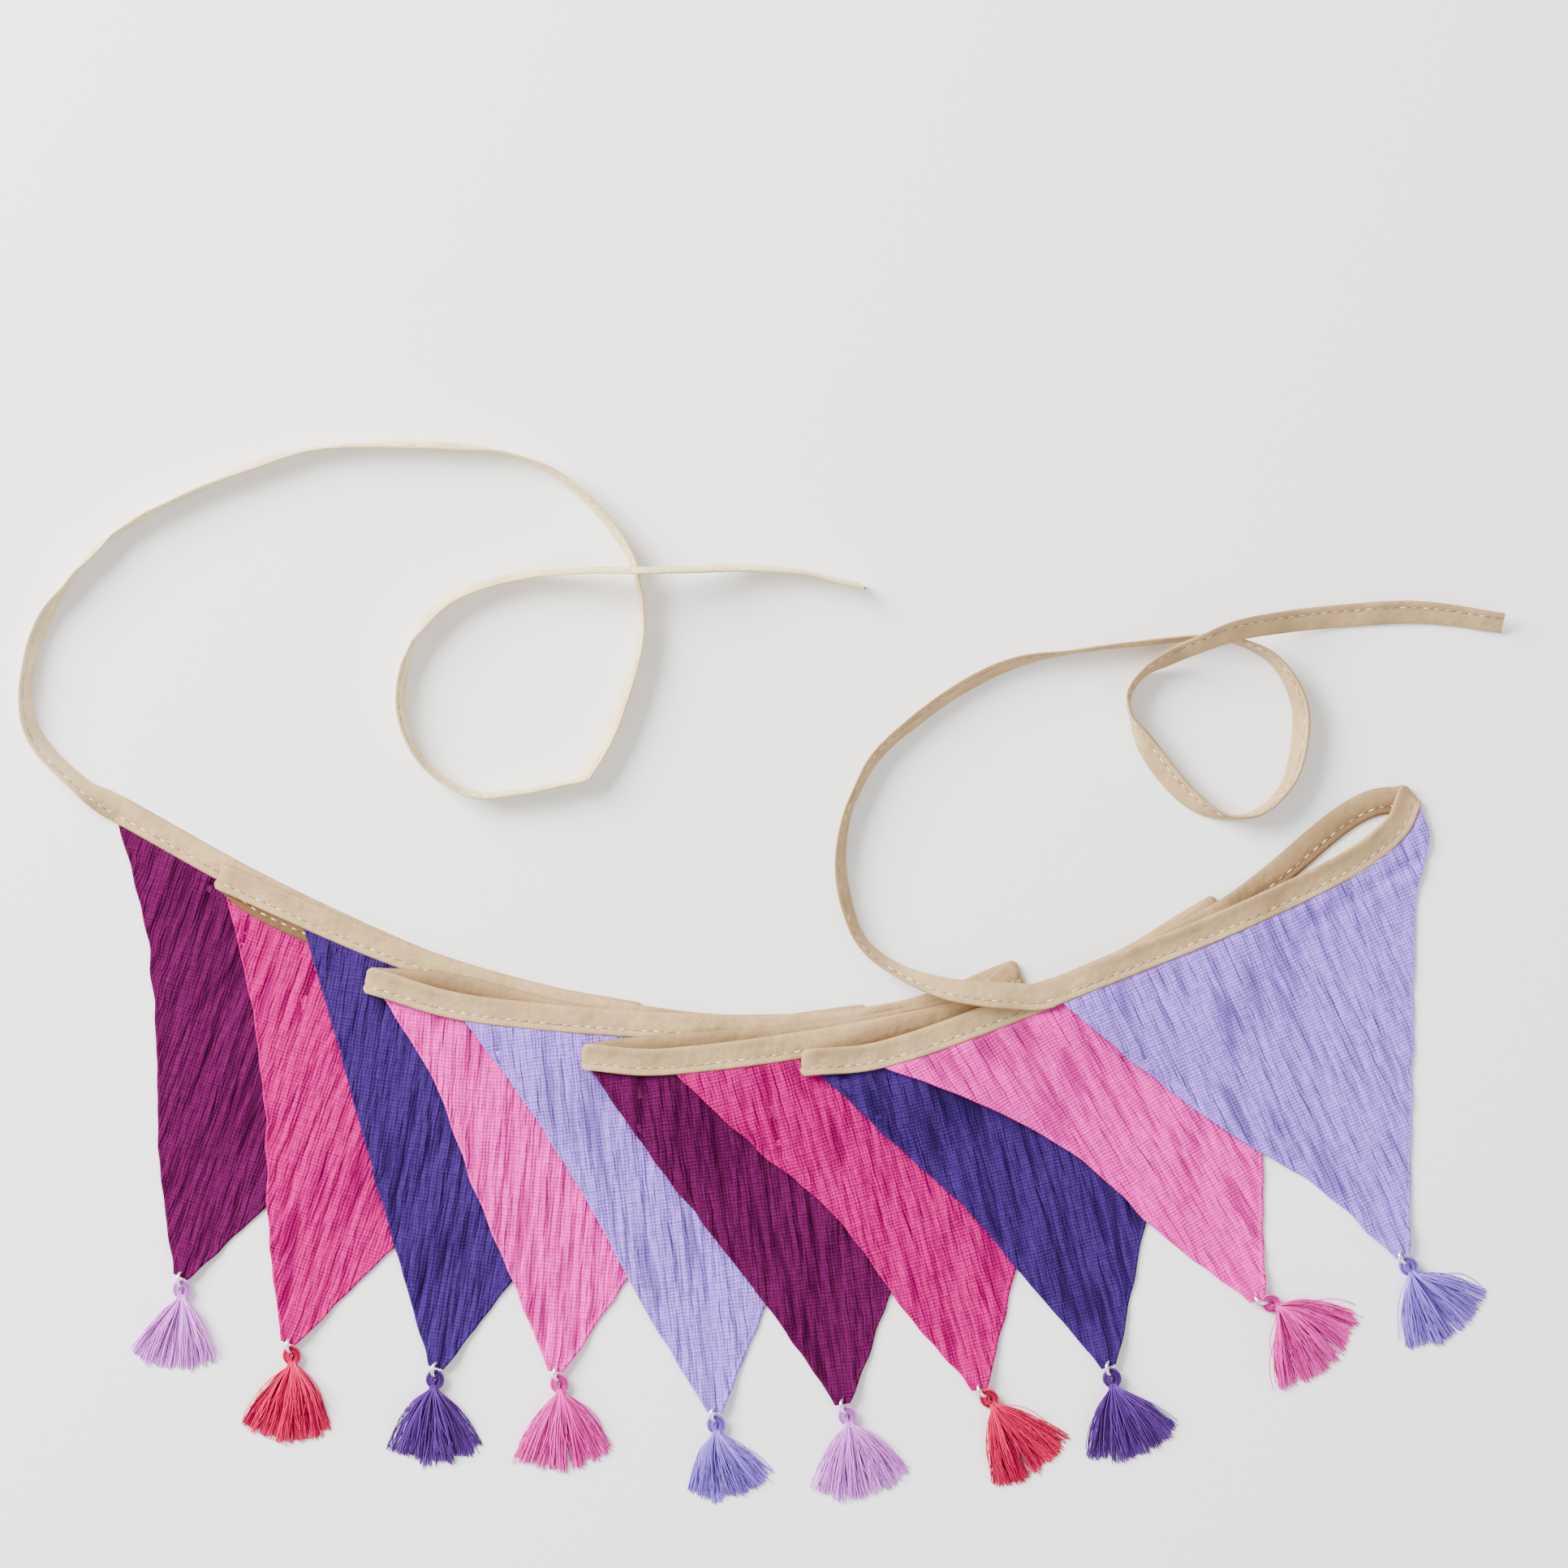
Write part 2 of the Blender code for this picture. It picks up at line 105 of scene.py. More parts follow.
# %% [markdown]
# ## Materials
# Each finish starts from the real one. The pennants are crinkled cotton gauze: matt, heathered,
# with a weave that shows. The tape is smooth cotton bias tape, the tassels are embroidery thread
# with a silky sheen, and the rings are plated wire. A few helpers add the nodes that they share.

# %% Node helpers
def add_node(tree, kind, settings=None, links=None):
    """Adds a node, sets its properties and sockets, and links sockets to others' outputs."""
    made = tree.nodes.new(kind)
    for key, value in (settings or {}).items():
        if isinstance(key, str) and hasattr(made, key):
            setattr(made, key, value)
        else:
            made.inputs[key].default_value = value
    for key, source in (links or {}).items():
        tree.links.new(source, made.inputs[key])
    return made


def principled(name, roughness, sheen=0.0, metallic=0.0, specular=0.5):
    """A new material, with its node tree and its shader."""
    made = bpy.data.materials.new(name)
    made.use_nodes = True
    shader = made.node_tree.nodes["Principled BSDF"]
    shader.inputs["Roughness"].default_value = roughness
    shader.inputs["Metallic"].default_value = metallic
    shader.inputs["Sheen Weight"].default_value = sheen
    shader.inputs["Specular IOR Level"].default_value = specular
    return made, made.node_tree, shader


def two_tones(tree, source, code, low, high):
    """Turns a value into shades of one colour: low and high are a value and its shade."""
    ramp = add_node(tree, "ShaderNodeValToRGB", links={0: source})
    for element, (value, factor) in zip(ramp.color_ramp.elements, (low, high)):
        element.position = value
        element.color = shade(code, factor)
    return ramp.outputs[0]


def with_painted_shade(tree, colour, painted_shade_colour):
    """Mixes painted shade into a colour: towards a deeper colour, by the mesh attribute that carries
    it.
    """
    painted_shade = add_node(tree, "ShaderNodeAttribute", {"attribute_name": "painted_shade"})
    deep = add_node(tree, "ShaderNodeMix", {"data_type": "RGBA", 7: painted_shade_colour},
                    {0: painted_shade.outputs["Fac"], 6: colour})
    return deep.outputs[2]


# %% [markdown]
# ## Floor
# The bunting lies on a plain pale surface. One large flat grid stands for it, a tenth of a
# millimetre below the cloth, so that no two faces share a plane. It is staged, which keeps it out
# of the part. The helper beside it makes an object of any bmesh, and later pieces use it too.

# %% Floor
FLOOR_HALF_SIDE = 4.0
FLOOR_DROP = 0.1 * MM


def piece_from(bm, name, finish):
    """Makes a smooth object of the bmesh, frees it and links the object into the scene."""
    for face in bm.faces:
        face.smooth = True
    mesh = bpy.data.meshes.new(name)
    bm.to_mesh(mesh)
    bm.free()
    mesh.materials.append(finish)
    obj = bpy.data.objects.new(name, mesh)
    bpy.context.scene.collection.objects.link(obj)
    return obj


paper, tree, shader = principled("white_paper", 0.9)
shader.inputs["Base Color"].default_value = linear("FDFDFD")
bm = bmesh.new()
bmesh.ops.create_grid(bm, x_segments=1, y_segments=1, size=FLOOR_HALF_SIDE)
floor = piece_from(bm, "floor", paper)
floor.location.z = -FLOOR_DROP

# %% [markdown]
# ## Crinkled cotton gauze
# Double gauze is two loose plain weaves. Real threads lie about 0.5 mm apart, too fine to show
# here, so the weave is drawn at 1.25 mm, with painted shade between its threads and painted light
# on them. The cloth's own UV map runs in metres with the grain, and a mesh attribute made with
# the mesh carries painted shade that darkens the bottoms of the crinkles.

# %% Gauze
THREAD_PITCH = 1.25 * MM
THREAD_WANDER = 1.6 * MM
WANDER_SCALE = 120.0
SLUB_LONG, SLUB_FINE = 170.0, 1100.0
WEAVE_PAINTED_SHADE = 0.05
SLUB_HEIGHT = 6.0
WEAVE_RELIEF = 0.12 * MM
WRINKLE_SIZE = (3.6 * MM, 26.0 * MM)
WRINKLE_RELIEF = 3.1 * MM


def gauze(name, code):
    """Crinkled gauze: slubbed colour, painted light and shade of the weave, painted shade in the
    creases, wrinkles and thread relief.
    """
    made, tree, shader = principled(name, 1.0, specular=0.0)
    grain = add_node(tree, "ShaderNodeUVMap", {"uv_map": "grain"})
    wander = add_node(tree, "ShaderNodeTexNoise", {"Scale": WANDER_SCALE, "Detail": 2.0},
                      {"Vector": grain.outputs[0]})
    pull = add_node(tree, "ShaderNodeVectorMath",
                    {"operation": "MULTIPLY_ADD", 1: (THREAD_WANDER,) * 3},
                    {0: wander.outputs["Color"], 2: grain.outputs[0]})
    axes = add_node(tree, "ShaderNodeSeparateXYZ", links={0: pull.outputs[0]})
    waves = []
    for axis in ("X", "Y"):
        turn = add_node(tree, "ShaderNodeMath",
                        {"operation": "MULTIPLY", 1: 2 * math.pi / THREAD_PITCH},
                        {0: axes.outputs[axis]})
        waves.append(add_node(tree, "ShaderNodeMath", {"operation": "SINE"}, {0: turn.outputs[0]}))
    weave = add_node(tree, "ShaderNodeMath", {"operation": "ADD"},
                     {0: waves[0].outputs[0], 1: waves[1].outputs[0]})
    slubs = []
    for stretch in ((SLUB_LONG, SLUB_FINE, 1.0), (SLUB_FINE, SLUB_LONG, 1.0)):
        drawn = add_node(tree, "ShaderNodeMapping", {"Scale": stretch}, {"Vector": pull.outputs[0]})
        slubs.append(add_node(tree, "ShaderNodeTexNoise", {"Scale": 1.0, "Detail": 2.0},
                              {"Vector": drawn.outputs[0]}))
    mottle = add_node(tree, "ShaderNodeMix", {"data_type": "FLOAT"},
                      {2: slubs[0].outputs[0], 3: slubs[1].outputs[0]})
    # Painted shade and light: the weave darkens the tone between the threads and lightens it on them.
    tone = add_node(tree, "ShaderNodeMath", {"operation": "MULTIPLY_ADD", 1: WEAVE_PAINTED_SHADE},
                    {0: weave.outputs[0], 2: mottle.outputs[0]})
    colour = two_tones(tree, tone.outputs[0], code, (0.32, 0.68), (0.68, 1.34))
    # Painted shade: the bottoms of the crinkles mix towards half the colour.
    tree.links.new(with_painted_shade(tree, colour, shade(code, 0.5)), shader.inputs["Base Color"])
    height = add_node(tree, "ShaderNodeMath", {"operation": "MULTIPLY_ADD", 1: SLUB_HEIGHT},
                      {0: mottle.outputs[0], 2: weave.outputs[0]})
    folds = add_node(tree, "ShaderNodeMapping",
                     {"Scale": (1 / WRINKLE_SIZE[0], 1 / WRINKLE_SIZE[1], 1.0)},
                     {"Vector": grain.outputs[0]})
    pucker = add_node(tree, "ShaderNodeTexNoise", {"Scale": 1.0, "Detail": 1.5, "Distortion": 0.4},
                      {"Vector": folds.outputs[0]})
    wrinkles = add_node(tree, "ShaderNodeBump", {"Strength": 1.0, "Distance": WRINKLE_RELIEF},
                        {"Height": pucker.outputs[0]})
    bump = add_node(tree, "ShaderNodeBump", {"Strength": 0.6, "Distance": WEAVE_RELIEF},
                    {"Height": height.outputs[0], "Normal": wrinkles.outputs[0]})
    tree.links.new(bump.outputs[0], shader.inputs["Normal"])
    return made


GAUZES = [
    gauze("gauze_plum", "52103F"),
    gauze("gauze_hot_pink", "AE0066"),
    gauze("gauze_indigo", "36205C"),
    gauze("gauze_pink", "F030A4"),
    gauze("gauze_lavender", "9472DA"),
]
print("gauze colours", len(GAUZES))

# %% [markdown]
# ## Bias tape, thread and wire
# The tape is a close cotton poplin, pressed smooth: only a faint mottle and soft puckers show.
# Tassel thread is mercerised cotton, shinier along the thread, and each strand differs a little
# from the next, which Random Per Island gives. The ring is plated steel wire with a clean polish.

# %% Tape, thread and wire
MOTTLE_SCALE = 90.0
THREAD_SCALE = 1300.0
THREAD_RELIEF = 0.1 * MM
PUCKER_SIZE = 4.5 * MM
PUCKER_RELIEF = 1.1 * MM


def poplin(name, code, painted_shade_code):
    """Smooth close cotton: faintly mottled, softly puckered, with painted shade mixed in where its
    mesh asks for it.
    """
    made, tree, shader = principled(name, 0.75, sheen=0.05, specular=0.2)
    place = add_node(tree, "ShaderNodeTexCoord").outputs["Object"]
    mottle, threads, puckers = (
        add_node(tree, "ShaderNodeTexNoise", {"Scale": scale, "Detail": detail}, {"Vector": place})
        for scale, detail in ((MOTTLE_SCALE, 6.0), (THREAD_SCALE, 2.0), (1 / PUCKER_SIZE, 3.0)))
    colour = two_tones(tree, mottle.outputs[0], code, (0.3, 0.82), (0.65, 1.1))
    tree.links.new(with_painted_shade(tree, colour, linear(painted_shade_code)), shader.inputs["Base Color"])
    soft = add_node(tree, "ShaderNodeBump", {"Strength": 0.6, "Distance": PUCKER_RELIEF},
                    {"Height": puckers.outputs[0]})
    bump = add_node(tree, "ShaderNodeBump", {"Strength": 0.3, "Distance": THREAD_RELIEF},
                    {"Height": threads.outputs[0], "Normal": soft.outputs[0]})
    tree.links.new(bump.outputs[0], shader.inputs["Normal"])
    return made


def floss(name, code):
    """Silky thread, each strand in its own shade of the colour."""
    made, tree, shader = principled(name, 0.6, sheen=0.03, specular=0.12)
    strand = add_node(tree, "ShaderNodeNewGeometry").outputs["Random Per Island"]
    colour = two_tones(tree, strand, code, (0.0, 0.5), (1.0, 1.75))
    tree.links.new(colour, shader.inputs["Base Color"])
    return made


TAPE_TAN = "BC9D70"
# Each tape finish's last code is the deeper colour that its painted shade mixes towards.
TAPE_COTTON = poplin("cotton_bias_tape", TAPE_TAN, "6E4E30")
# A lighter copy of the same tape, for the left tie: painted light on its faces.
PAINTED_LIGHT_COTTON = poplin("cotton_bias_tape_painted_light", "E6D0A2", TAPE_TAN)
SEWING_THREAD = floss("cream_sewing_thread", "DDCDAA")
# Dark spots of painted shade, laid in the needle holes.
NEEDLE_HOLE_SHADE = poplin("shaded_cotton", "6B5236", "4A3620")
FLOSSES = [
    floss("thread_lilac", "E27CFF"),
    floss("thread_crimson", "C2004A"),
    floss("thread_violet", "542A7C"),
    floss("thread_rose", "FF38A0"),
    floss("thread_periwinkle", "8468CE"),
]
WIRE, tree, shader = principled("plated_wire", 0.22, metallic=1.0)
shader.inputs["Base Color"].default_value = linear("FFFFFF")
print("finishes", len(bpy.data.materials))

# %% [markdown]
# ## Smooth lines and the pile of cloth
# The tape and the pennants were laid down one over the other, so each sheet must know how high the
# pile beneath it is. A physics solver could drop them, but a height map gives the same soft steps
# at once: spread the pile outwards, blur it, and let the next sheet rest on that.

# %% Lines
def smooth_line(knots, per_span=24):
    """Points of a smooth curve that passes through the knots, every column alike."""
    knots = np.array(knots, float)
    padded = np.vstack([2 * knots[0] - knots[1], knots, 2 * knots[-1] - knots[-2]])
    t = np.linspace(0, 1, per_span, endpoint=False)[:, None]
    pieces = []
    for a, b, c, d in zip(padded, padded[1:], padded[2:], padded[3:]):
        pieces.append(0.5 * (2 * b + (c - a) * t + (2 * a - 5 * b + 4 * c - d) * t ** 2
                             + (3 * b - a - 3 * c + d) * t ** 3))
    return np.vstack(pieces + [knots[-1:]])


def lengths_along(line):
    """Distance of each place from the line's start, as seen from above."""
    return np.concatenate([[0], np.cumsum(np.hypot(*np.diff(line[:, :2], axis=0).T))])


def steps_along(line):
    """Length in space of each step of a line."""
    return np.linalg.norm(np.diff(line, axis=0), axis=1)


def reach_along(line):
    """Distance in space of each place from the line's start."""
    return np.concatenate([[0], np.cumsum(steps_along(line))])


def pick(line, distances):
    """The line's columns at the given distances from its start."""
    reach = lengths_along(line)
    return np.stack([np.interp(distances, reach, column) for column in line.T], axis=1)


def headings(line):
    """Direction in radians in which the line goes at each place, as seen from above."""
    step = np.gradient(line[:, :2], axis=0)
    return np.unwrap(np.arctan2(step[:, 1], step[:, 0]))


def face_normals(middle, rungs):
    """Unit vectors square to a strip, from its middle line and its rungs."""
    face = np.cross(np.gradient(middle, axis=0), rungs)
    return face / np.linalg.norm(face, axis=1)[:, None]


def bell(x, breadth, centre=0.0):
    """1 at the centre, fading smoothly to 0 on both sides."""
    return np.exp(-((x - centre) / breadth) ** 2)


def read_grid(values, gx, gy):
    """Reads a grid of values between its places, counted in steps along both sides."""
    gx = np.clip(gx, 0, values.shape[0] - 1.001)
    gy = np.clip(gy, 0, values.shape[1] - 1.001)
    i, j = gx.astype(int), gy.astype(int)
    a, b = gx - i, gy - j
    return ((1 - a) * (1 - b) * values[i, j] + a * (1 - b) * values[i + 1, j]
            + (1 - a) * b * values[i, j + 1] + a * b * values[i + 1, j + 1])


# %% Pile
LAYER_GAP = 0.5
CELL = 2.0
PILE_CORNER = np.array([-280.0, -130.0])
PILE_CELLS = (280, 150)
SPREAD_CELLS = 4
BLUR_CELLS = (2, 1)
INSIDE_CELL = np.linspace(0.0, 1.0, 5)
pile = np.zeros(PILE_CELLS)


def widen(heights, cells, how):
    """Gives each cell the highest or mean height of the cells around it."""
    for axis in (0, 1):
        heights = how([np.roll(heights, k, axis) for k in range(-cells, cells + 1)], axis=0)
    return heights


def cell_of(x, y):
    """Column and row of the pile's cell at each place."""
    column = np.clip(np.round((x - PILE_CORNER[0]) / CELL).astype(int), 0, pile.shape[0] - 1)
    row = np.clip(np.round((y - PILE_CORNER[1]) / CELL).astype(int), 0, pile.shape[1] - 1)
    return column, row


def between(values, a, b):
    """Values at shares a and b of the way across every cell of a grid."""
    return ((1 - a) * (1 - b) * values[:-1, :-1] + a * (1 - b) * values[1:, :-1]
            + (1 - a) * b * values[:-1, 1:] + a * b * values[1:, 1:])


def clear_heights(places, ground):
    """Heights that clear a pile by a small gap and fall softly to the floor beside it."""
    soft = widen(ground, SPREAD_CELLS, np.max)
    for cells in BLUR_CELLS:
        soft = widen(soft, cells, np.mean)
    top = read_grid(soft, (places[..., 0] - PILE_CORNER[0]) / CELL,
                    (places[..., 1] - PILE_CORNER[1]) / CELL)
    return top + LAYER_GAP * np.minimum(1, top / LAYER_GAP)


def rest_heights(grid, thickness, least=0.0):
    """Heights of a sheet's middle when it rests on the pile."""
    return np.maximum(clear_heights(grid, pile) + thickness / 2, least)


def add_to_pile(grid, middle, thickness):
    """Marks a sheet's top in the cells of the pile that it covers."""
    for a in INSIDE_CELL:
        for b in INSIDE_CELL:
            where = cell_of(between(grid[..., 0], a, b), between(grid[..., 1], a, b))
            np.maximum.at(pile, where, between(middle, a, b) + thickness / 2)


# %% [markdown]
# ## Where the tape runs and the pennants hang
# These short tables are the part's own, in millimetres. A run is named by the turn of its two
# folds in degrees and the places its middle line passes. A pennant is named by where it starts on
# its run, where its tip points, and how far its left edge bows in at a quarter, half and three
# quarters of its depth.

# %% Tables
SHIFT = np.array([0.1, -1.3])
RUNS = [
    (61, 90, [(-250, 123.5), (-194.5, 93), (-134, 65.5), (-96.5, 54.5), (-59, 47.5)]),
    (63, 90, [(-211.5, 98.5), (-193, 85.5), (-144.5, 65.5), (-100, 53), (-59, 47.5)]),
    (63, 84, [(-211.5, 98.5), (-153.5, 73), (-108.5, 58), (-54.5, 46), (-12, 42.5), (23.5, 46.5)]),
    (75, 84, [(-157, 60.5), (-126.5, 58), (-79, 46.5), (-24.5, 41.5), (23.5, 46.5)]),
    (75, 111, [(-157, 60.5), (-114.5, 49.5), (-24.5, 43), (36.5, 47.5), (80.5, 63)]),
    (84, 111, [(-77, 32.5), (-48.5, 36), (6.5, 40), (59.5, 50), (80.5, 63)]),
    (84, 118, [(-77, 32.5), (-45.5, 31), (23.5, 40.5), (103, 59), (154.5, 87)]),
    (82, 118, [(4, 30.5), (37, 42), (95.5, 56), (130, 70), (154.5, 87)]),
    (82, 133, [(4, 30.5), (35.5, 34.5), (95.5, 56.5), (158, 85.5), (205, 122), (226.5, 128)]),
    (111, 133, [(95.5, 56.5), (155.5, 80.5), (200.5, 101.5), (220.5, 116), (226.5, 128)]),
]
PENNANTS = [
    (1.0, -227.5, -49.0, 5.5, 4.0, 0.0),
    (3.0, -187.5, -73.5, 4.3, 4.3, 0.3),
    (34.0, -133.0, -82.5, 0.3, 0.0, 0.0),
    (4.0, -88.5, -84.0, 5.0, 2.5, 1.2),
    (36.0, -30.0, -99.0, 3.4, 3.2, 0.3),
    (1.0, 17.5, -96.0, -1.0, 0.0, 1.0),
    (32.0, 68.0, -90.5, 2.6, 7.0, 2.0),
    (4.0, 116.0, -82.0, 2.0, 4.3, 2.0),
    (27.0, 170.5, -57.5, 8.5, 10.8, 3.5),
    (0.5, 224.0, -41.0, -1.6, -0.8, 3.3),
]
TAPE_WIDTH = 10.0
TAPE_THICKNESS = 1.2
PENNANT_BASE = 154.0
PENNANT_THICKNESS = 1.0
PENNANT_TIP = 5.8
RUN_STEP = 3.0
FOLD_BLEND = 9.0
TUCK = 1.2


def run_rungs(left_turn, right_turn, knots):
    """Middle line and half-rung vectors of a run, with the rungs along the fold at each end."""
    line = smooth_line(np.array(knots, float) + SHIFT)
    length = lengths_along(line)[-1]
    line = pick(line, np.linspace(0, length, round(length / RUN_STEP) + 1))
    reach = lengths_along(line)
    square = headings(line) + math.pi / 2
    turn = square.copy()
    for angle, end, away in ((left_turn, square[0], reach),
                             (right_turn, square[-1], reach[-1] - reach)):
        turn += (math.radians(angle) - end) * bell(away, FOLD_BLEND)
    half = TAPE_WIDTH / 2 / np.cos(turn - square)
    return line, np.stack([np.cos(turn) * half, np.sin(turn) * half], axis=1)


# %% [markdown]
# ## Closed cloth from a grid
# A pennant has two faces and a rounded edge. Solidify on a flat grid gives a square edge, so the
# grid is wrapped instead: its columns run over the top, round the right edge, back underneath and
# round the left edge, and its first and last columns are merged. A tape is made the same way.

# %% Wrapped grid
MERGE_DISTANCE = 1e-7
SHARP_ANGLE = math.radians(75)


def wrapped(name, places, finish, grain=None, painted_shade=None):
    """A closed piece from places[along, around], with the seam merged and both ends filled."""
    along, around = places.shape[0], places.shape[1]
    bm = bmesh.new()
    bmesh.ops.create_grid(bm, x_segments=along - 1, y_segments=around, size=1.0)
    uv = bm.loops.layers.uv.new("grain")
    # This float layer holds each vertex's painted shade, from 0 to 1.
    depth = bm.verts.layers.float.new("painted_shade")
    index = {}
    for vert in bm.verts:
        i = round((vert.co.x + 1) / 2 * (along - 1))
        j = round((vert.co.y + 1) / 2 * around) % around
        index[vert] = (i, j)
        if painted_shade is not None:
            vert[depth] = painted_shade[i, j]
    if grain is not None:
        for face in bm.faces:
            for loop in face.loops:
                loop[uv].uv = grain[index[loop.vert]] * MM
    for vert, (i, j) in index.items():
        vert.co = places[i, j] * MM
    bmesh.ops.remove_doubles(bm, verts=bm.verts, dist=MERGE_DISTANCE)
    bmesh.ops.holes_fill(bm, edges=[e for e in bm.edges if e.is_boundary], sides=0)
    bmesh.ops.recalc_face_normals(bm, faces=bm.faces)
    obj = piece_from(bm, name, finish)
    obj.data.set_sharp_from_angle(angle=SHARP_ANGLE)
    return obj


# %% [markdown]
# ## Crinkles
# Washed gauze puckers along its grain, in soft ridges a few millimetres apart and some centimetres
# long. A wave texture would make them too even. Noise stretched along the grain starts and stops
# each ridge at its own place, as washing does, and a finer noise roughens it. Each size below is
# in millimetres across and along the grain.

# %% Crinkles
RIDGE = (3.3, 30.0)
RIPPLE = (1.9, 15.0)
BEND = (45.0, 60.0)
PATCH = (26.0, 45.0)
BEND_REACH = 7.0
RIPPLE_SHARE = 0.45
CRINKLE_HEIGHT = 1.7
CRINKLE_MOST = 0.42
# Painted shade in the bottoms of the crinkles: where it starts, how fast it grows, and its most.
CREASE_SHADE_STARTS = 0.08
CREASE_SHADE_GAIN = 2.5
CREASE_SHADE_MOST = 0.85


def grain_noise(across, along, size, seed):
    """Smooth noise in patches of the given size."""
    return noise.noise(Vector((across / size[0], along / size[1], seed)))


def crinkle(across, along, seed):
    """Height of the cloth in millimetres, and the painted shade of a crease's bottom, from 0 to 1."""
    bend = grain_noise(across, along, BEND, seed + 5.1) * BEND_REACH
    ridge = grain_noise(across + bend, along, RIDGE, seed)
    ripple = grain_noise(across - bend, along, RIPPLE, seed + 9.7)
    strength = 0.75 + 0.9 * grain_noise(across, along, PATCH, seed + 3.3)
    height = (ridge + RIPPLE_SHARE * ripple) * max(0.25, strength)
    lift = CRINKLE_MOST * math.tanh(CRINKLE_HEIGHT * height / CRINKLE_MOST)
    return lift, min(CREASE_SHADE_MOST, max(0.0, -height - CREASE_SHADE_STARTS) * CREASE_SHADE_GAIN)


# %% [markdown]
# ## Pennants
# Each pennant is two layers of gauze sewn edge to edge and turned, so its edges are round and a
# little thicker, with a soft groove where the turning ends. Its top tucks into the tape. Only the
# last pennant shows its upper corner: it has a shoulder there, and a soft fold that is given by
# where it starts and stops, its depth and its breadth.

# %% Pennant shapes
EDGE_STEPS = np.array([0.0, 0.12, 0.35, 0.7, 1.1, 1.5, 1.9, 2.4, 3.2])
TOP_COLUMNS = 130
UNDER_COLUMNS = 16
ROWS = 104
CLOTH_HALF = 0.34
CLOTH_LIFT = 0.15
EDGE_ROUND = 0.6
RIM_SWELL = 0.16
SEAM_GROOVE = 0.12
TUCK_FADES = 3.0
EDGE_SLANT = 0.9
EDGE_CALM = 3.0
CRINKLE_SEED = 17.3
TIP_CRUMPLE = 14.0
EDGE_WAVE = 0.9
EDGE_WAVE_LENGTH = 9.0
EDGE_WAVE_REACH = 8.0
FLOOR_GAP = 0.02
LAST = len(PENNANTS)
SHOULDER = 5.5
SOFT_FOLD = (np.array([231.0, 104.0]), np.array([180.0, 73.0]), 0.8, 4.5)
EDGE_PLACES = 60
COARSE_COLUMNS = 40
COARSE_DEPTHS = np.concatenate([np.linspace(0, 0.84, 32), np.linspace(0.86, 1, 12)])


def pennant_place(edge, tip, bows, share, depth, shoulder=0.0):
    """Place on a pennant at a share of its width and a share of its depth."""
    base = edge[-1] - edge[0]
    base_way = base / np.hypot(*base)
    stations = np.linspace(0, 1, len(edge))
    top = np.stack([np.interp(share, stations, edge[:, k]) for k in (0, 1)], axis=-1)
    end = tip + (share[..., None] - 0.5) * PENNANT_TIP * base_way
    side = (tip - 0.5 * PENNANT_TIP * base_way) - edge[0]
    inward = np.array([-side[1], side[0]]) / np.hypot(*side)
    curve = smooth_line(np.column_stack([np.linspace(0, 1, 5), [0, *bows, 0]]))
    bow = np.interp(depth, curve[:, 0], curve[:, 1])
    bulge = shoulder * bell(depth, 0.075, 0.09)
    return (top * (1 - depth[..., None]) + end * depth[..., None]
            + (1 - share[..., None]) * inward * bow[..., None]
            + share[..., None] ** 3 * base_way * bulge[..., None])


def tip_lift(depth):
    """Millimetres by which the ring lifts the cloth near its tip."""
    return np.interp(depth, [0, 0.86, 0.93, 0.97, 1], [0, 0, 1.0, 2.15, 2.15])


def pennant_shares(width):
    """Shares of the width at which the columns lie, top side then underside."""
    edge = np.minimum(EDGE_STEPS, width * EDGE_STEPS / EDGE_STEPS[-1] * 0.3) / width
    inner = np.linspace(edge[-1], 1 - edge[-1], TOP_COLUMNS)[1:-1]
    over = np.concatenate([edge, inner, 1 - edge[::-1]])
    under = np.linspace(1, 0, UNDER_COLUMNS + 2)[1:-1]
    return np.concatenate([over, under]), len(over)


def half_thickness(inset):
    """Half the thickness by the distance from the edge: round edge, swollen rim, then groove."""
    round_off = np.sqrt(np.clip(1 - (1 - np.clip(inset / EDGE_ROUND, 0, 1)) ** 2, 0, 1))
    return (CLOTH_HALF * round_off + RIM_SWELL * bell(inset, 0.5, 0.9)
            - SEAM_GROOVE * bell(inset, 0.35, 2.0))


def soft_fold(flat):
    """Lift of the cloth beside the last pennant's soft fold, and dip along it."""
    start, stop, deep, broad = SOFT_FOLD
    reach = stop - start
    t = np.clip((flat - start) @ reach / (reach @ reach), 0, 1)
    off = np.hypot(*(flat - start - t[:, None] * reach).T)
    return deep * (1 - t) * (bell(off, broad, 4) - 0.8 * bell(off, 2.5))


